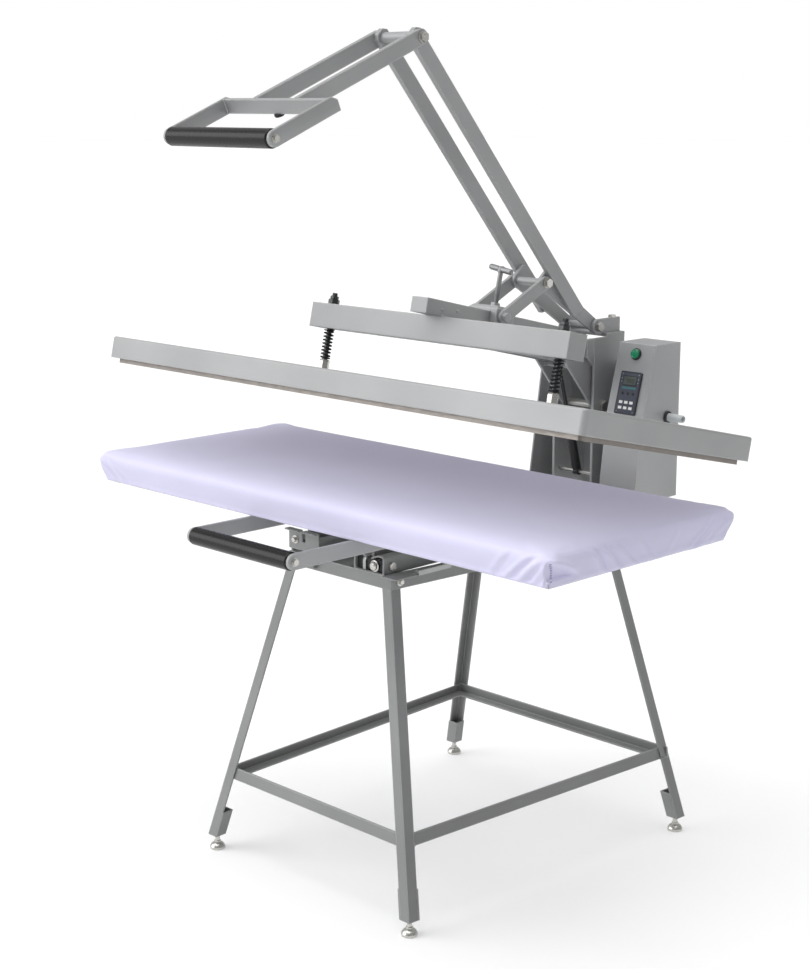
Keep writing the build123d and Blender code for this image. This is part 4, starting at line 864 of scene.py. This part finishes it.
grow("handle_welds", weld_tree, handle_welds, "handle", "body_paint", Radius=0.0022, Rise=0.7)
button_top = on_handle(0.3620, -0.0150)
button_way = Vector((0.0, math.sin(handle_drop), -math.cos(handle_drop)))
button = turned(((0.0, 0.0105), (0.0040, 0.0105), (0.0058, 0.0090), (0.0064, 0.0050)),
                (0.0, *button_top), button_way)
stop_rubber = moulded("bumper rubber", "#17181A", "#202124", (0.6, 0.75), 0.002, 0.5)
stop = keep("rubber_button", button, stop_rubber, "handle")
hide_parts("handle_bumper")


# Control box: folded sheet, with a plastic controller, six keys, a lamp and a cable gland.
coat(body_coat, "control_box")
coat(moulded("controller ABS", "#2F323B", "#2A2D35", (0.4, 0.5), 0.0012, 0.2), "controller_body")
coat(moulded("key cap ABS", "#EDECEA", "#E2E1DE", (0.3, 0.4), 0.0012, 0.2),
     "key_1", "key_2", "key_3", "key_4", "key_5", "key_6")
coat(moulded("lamp bezel ABS", "#1C1D20", "#26272A", (0.25, 0.35), 0.0012, 0.2), "lamp_bezel")
panel_top = Vector((0.172, 0.505, 1.124))
panel_up = Vector((0.0, 0.045, 0.163)).normalized()
panel_out = Vector((1.0, 0.0, 0.0)).cross(panel_up)
panel_middle = panel_top - panel_up * 0.117 + panel_out * 0.004


def on_panel(across, up, out):
    """A place on the controller's face, from its middle."""
    return panel_middle + Vector((across, 0.0, 0.0)) + panel_up * up + panel_out * out


def panel_patch(left, right, low, high, rise, shell=None):
    """A thin raised patch on the controller's face."""
    shell = shell or bmesh.new()
    rows = []
    for out in (-0.0003, rise):
        rows.append([shell.verts.new(on_panel(x, up, out))
                     for x, up in ((left, low), (right, low), (right, high), (left, high))])
    bottom, top = rows
    shell.faces.new(list(reversed(bottom)))
    shell.faces.new(top)
    for index in range(4):
        beside = (index + 1) % 4
        shell.faces.new((bottom[index], bottom[beside], top[beside], top[index]))
    return shell


# The controller's face: a raised frame, a dark display with three lit figures, a teal strip
# under it, and a row of three small round buttons over the keys.
face_dark = moulded("controller face film", "#444855", "#3F434F", (0.45, 0.55), 0.0012, 0.1)
frame_ring = panel_patch(-0.0270, 0.0270, -0.0465, 0.0465, 0.0004)
keep("controller_film", frame_ring, face_dark, "stand", 0.0003)
rim = panel_patch(-0.0205, 0.0205, 0.0165, 0.0405, 0.0010)
keep("display_rim", rim, moulded("display rim", "#262930", "#22252B", (0.4, 0.5), 0.0012, 0.1),
     "stand", 0.0005)
glass = panel_patch(-0.0180, 0.0180, 0.0190, 0.0380, 0.0014)
keep("display_glass", glass, moulded("display glass", "#4C524D", "#474D48", (0.35, 0.45), 0.004, 0.02),
     "stand", 0.0003)
figures = bmesh.new()
strokes = {"top": (0, 1, 2, 2), "middle": (0, 1, 1, 1), "bottom": (0, 1, 0, 0),
           "upper left": (0, 0, 1, 2), "upper right": (1, 1, 1, 2),
           "lower left": (0, 0, 0, 1), "lower right": (1, 1, 0, 1)}
figure_one = ("upper right", "lower right")
figure_nought = ("top", "bottom", "upper left", "upper right", "lower left", "lower right")
shown = (figure_one, tuple(strokes), figure_nought)
figure_pitch = 0.0090
figure_width = 0.0050
figure_rise = 0.0042
half_stroke = 0.0005
for place, lit in enumerate(shown):
    left = -0.0115 + place * figure_pitch
    for name in lit:
        x0, x1, z0, z1 = strokes[name]
        across = (left + x0 * figure_width - half_stroke, left + x1 * figure_width + half_stroke)
        up = (0.0240 + z0 * figure_rise - half_stroke, 0.0240 + z1 * figure_rise + half_stroke)
        panel_patch(*across, *up, 0.0016, figures)
keep("display_figures", figures, moulded("display figures", "#31362F", "#2D322B", (0.5, 0.6), 0.002, 0.05),
     "stand")
strip_patch = panel_patch(-0.0200, 0.0200, 0.0085, 0.0145, 0.0008)
keep("teal_strip", strip_patch, moulded("teal printed strip", "#3F7078", "#3A676F", (0.35, 0.45), 0.002,
                                        0.05), "stand", 0.0003)
grow("round_buttons", bead("round buttons", moulded("button ABS", "#23252B", "#1F2126", (0.35, 0.45),
                                                    0.002, 0.1)),
     [(on_panel(x, -0.0010, 0.0004), panel_out) for x in (-0.0150, 0.0, 0.0150)], "stand",
     "controller", Radius=0.0042, Rise=0.35)
corner_marks = [(on_panel(x, up, 0.0004), panel_out) for x in (-0.0235, 0.0235)
                for up in (0.0440, 0.0330, 0.0250, -0.0440)]
grow("status_dots", bead("status dots", moulded("status dot", "#A9ADB5", "#9DA1A9", (0.4, 0.5), 0.002,
                                                0.05)), corner_marks, "stand", "controller",
     Radius=0.0012, Rise=0.4)

lamp_middle = panel_top - panel_up * 0.025 + panel_out * 0.004
lens = turned(((-0.0010, 0.0112), (0.0035, 0.0112), (0.0048, 0.0104), (0.0052, 0.0092),
               (0.0044, 0.0086), (0.0046, 0.0040)), lamp_middle, panel_out, steps=48)
lens_green = moulded("green polycarbonate lens", "#0A8F62", "#087C55", (0.10, 0.18), 0.003, 0.05,
                     Coat_Weight=0.4, Transmission_Weight=0.0)
lamp_cap = keep("lamp_cap", lens, lens_green, "stand")
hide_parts("lamp_lens")

gland_foot = Vector((0.2250, 0.551, 0.953))
grommet = turned(((0.0, 0.0140), (0.0045, 0.0140), (0.0060, 0.0125), (0.0062, 0.0095)),
                 gland_foot, (1, 0, 0))
black_rubber = moulded("grommet rubber", "#1B1D1F", "#242628", (0.45, 0.6), 0.002, 0.2)
gland_ring = keep("gland_grommet", grommet, black_rubber, "stand")
outside = ((0.0050, 0.0096), (0.0300, 0.0096), (0.0310, 0.0088), (0.0450, 0.0088), (0.0470, 0.0080))
inside = ((0.0462, 0.0062), (0.0120, 0.0058))
pipe = turned(outside + inside, gland_foot, (1, 0, 0))
gland_pipe = keep("gland_pipe", pipe, moulded("nylon gland", "#C9CDCE", "#BCC0C1", (0.35, 0.45), 0.002,
                                              0.1), "stand")
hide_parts("cable_gland")
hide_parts("cable_gland")


# Floor and light. The studio is white all round, with one soft shadow under the press: soft
# lamps at the front left and above, a fill that casts no shadow, and white paper everywhere.
floor_half = 60.0
floor_lift = 0.06
world_left, world_right = 0.60, 0.34
floor_mesh = bpy.data.meshes.new("floor")
floor_shell = bmesh.new()
bmesh.ops.create_grid(floor_shell, x_segments=1, y_segments=1, size=floor_half)
floor_shell.to_mesh(floor_mesh)
floor_shell.free()
floor = bpy.data.objects.new("floor", floor_mesh)
scene.collection.objects.link(floor)
floor_material = bpy.data.materials.new("white studio paper")
floor_material.use_nodes = True
floor_tree = floor_material.node_tree
floor_tree.nodes.clear()
paper = add(floor_tree, "ShaderNodeBsdfDiffuse", {"Color": linear("#E9E9E9")})
clear = add(floor_tree, "ShaderNodeBsdfDiffuse", {"Color": (0.9, 0.9, 0.9, 1.0)})
lift = add(floor_tree, "ShaderNodeEmission", {"Color": (1.0, 1.0, 1.0, 1.0), "Strength": floor_lift})
bright = add(floor_tree, "ShaderNodeAddShader", {0: clear.outputs[0], 1: lift.outputs[0]})
rays = add(floor_tree, "ShaderNodeLightPath")
seen = add(floor_tree, "ShaderNodeMath",
           {0: rays.outputs["Is Camera Ray"], 1: rays.outputs["Is Glossy Ray"]}, operation="MAXIMUM")
either = add(floor_tree, "ShaderNodeMixShader",
             {0: seen.outputs[0], 1: paper.outputs[0], 2: bright.outputs[0]})
add(floor_tree, "ShaderNodeOutputMaterial", {"Surface": either.outputs[0]})
floor_mesh.materials.append(floor_material)

world = bpy.data.worlds.new("studio")
world.use_nodes = True
scene.world = world
sky = world.node_tree
sky.nodes.clear()
side = add(sky, "ShaderNodeSeparateXYZ", {0: add(sky, "ShaderNodeTexCoord").outputs["Generated"]})
falling = add(sky, "ShaderNodeMapRange",
              {0: side.outputs["X"], 1: -1.0, 2: 1.0, 3: world_left, 4: world_right})
room = add(sky, "ShaderNodeBackground", {"Color": (1.0, 1.0, 1.0, 1.0), "Strength": falling.outputs[0]})
white = add(sky, "ShaderNodeBackground", {"Color": (1.0, 1.0, 1.0, 1.0), "Strength": 1.0})
sky_rays = add(sky, "ShaderNodeLightPath")
sky_seen = add(sky, "ShaderNodeMixShader", {0: sky_rays.outputs["Is Camera Ray"], 1: room.outputs[0],
                                            2: white.outputs[0]})
add(sky, "ShaderNodeOutputWorld", {"Surface": sky_seen.outputs[0]})

lamps = (
    ("front left", (-0.55, -0.70, 0.40), 50.0, 1.35, True),
    ("above", (-0.10, -0.10, 1.0), 50.0, 0.6, True),
    ("fill from above", (0.0, -0.15, 1.0), 60.0, 1.15, False),
)
for lamp_name, lamp_from, lamp_spread, lamp_strength, lamp_shadow in lamps:
    lamp_data = bpy.data.lights.new(lamp_name, "SUN")
    lamp_data.angle = math.radians(lamp_spread)
    lamp_data.energy = lamp_strength
    lamp_data.use_shadow = lamp_shadow
    lamp = bpy.data.objects.new(lamp_name, lamp_data)
    lamp.rotation_euler = (-Vector(lamp_from)).to_track_quat("-Z", "Y").to_euler()
    scene.collection.objects.link(lamp)
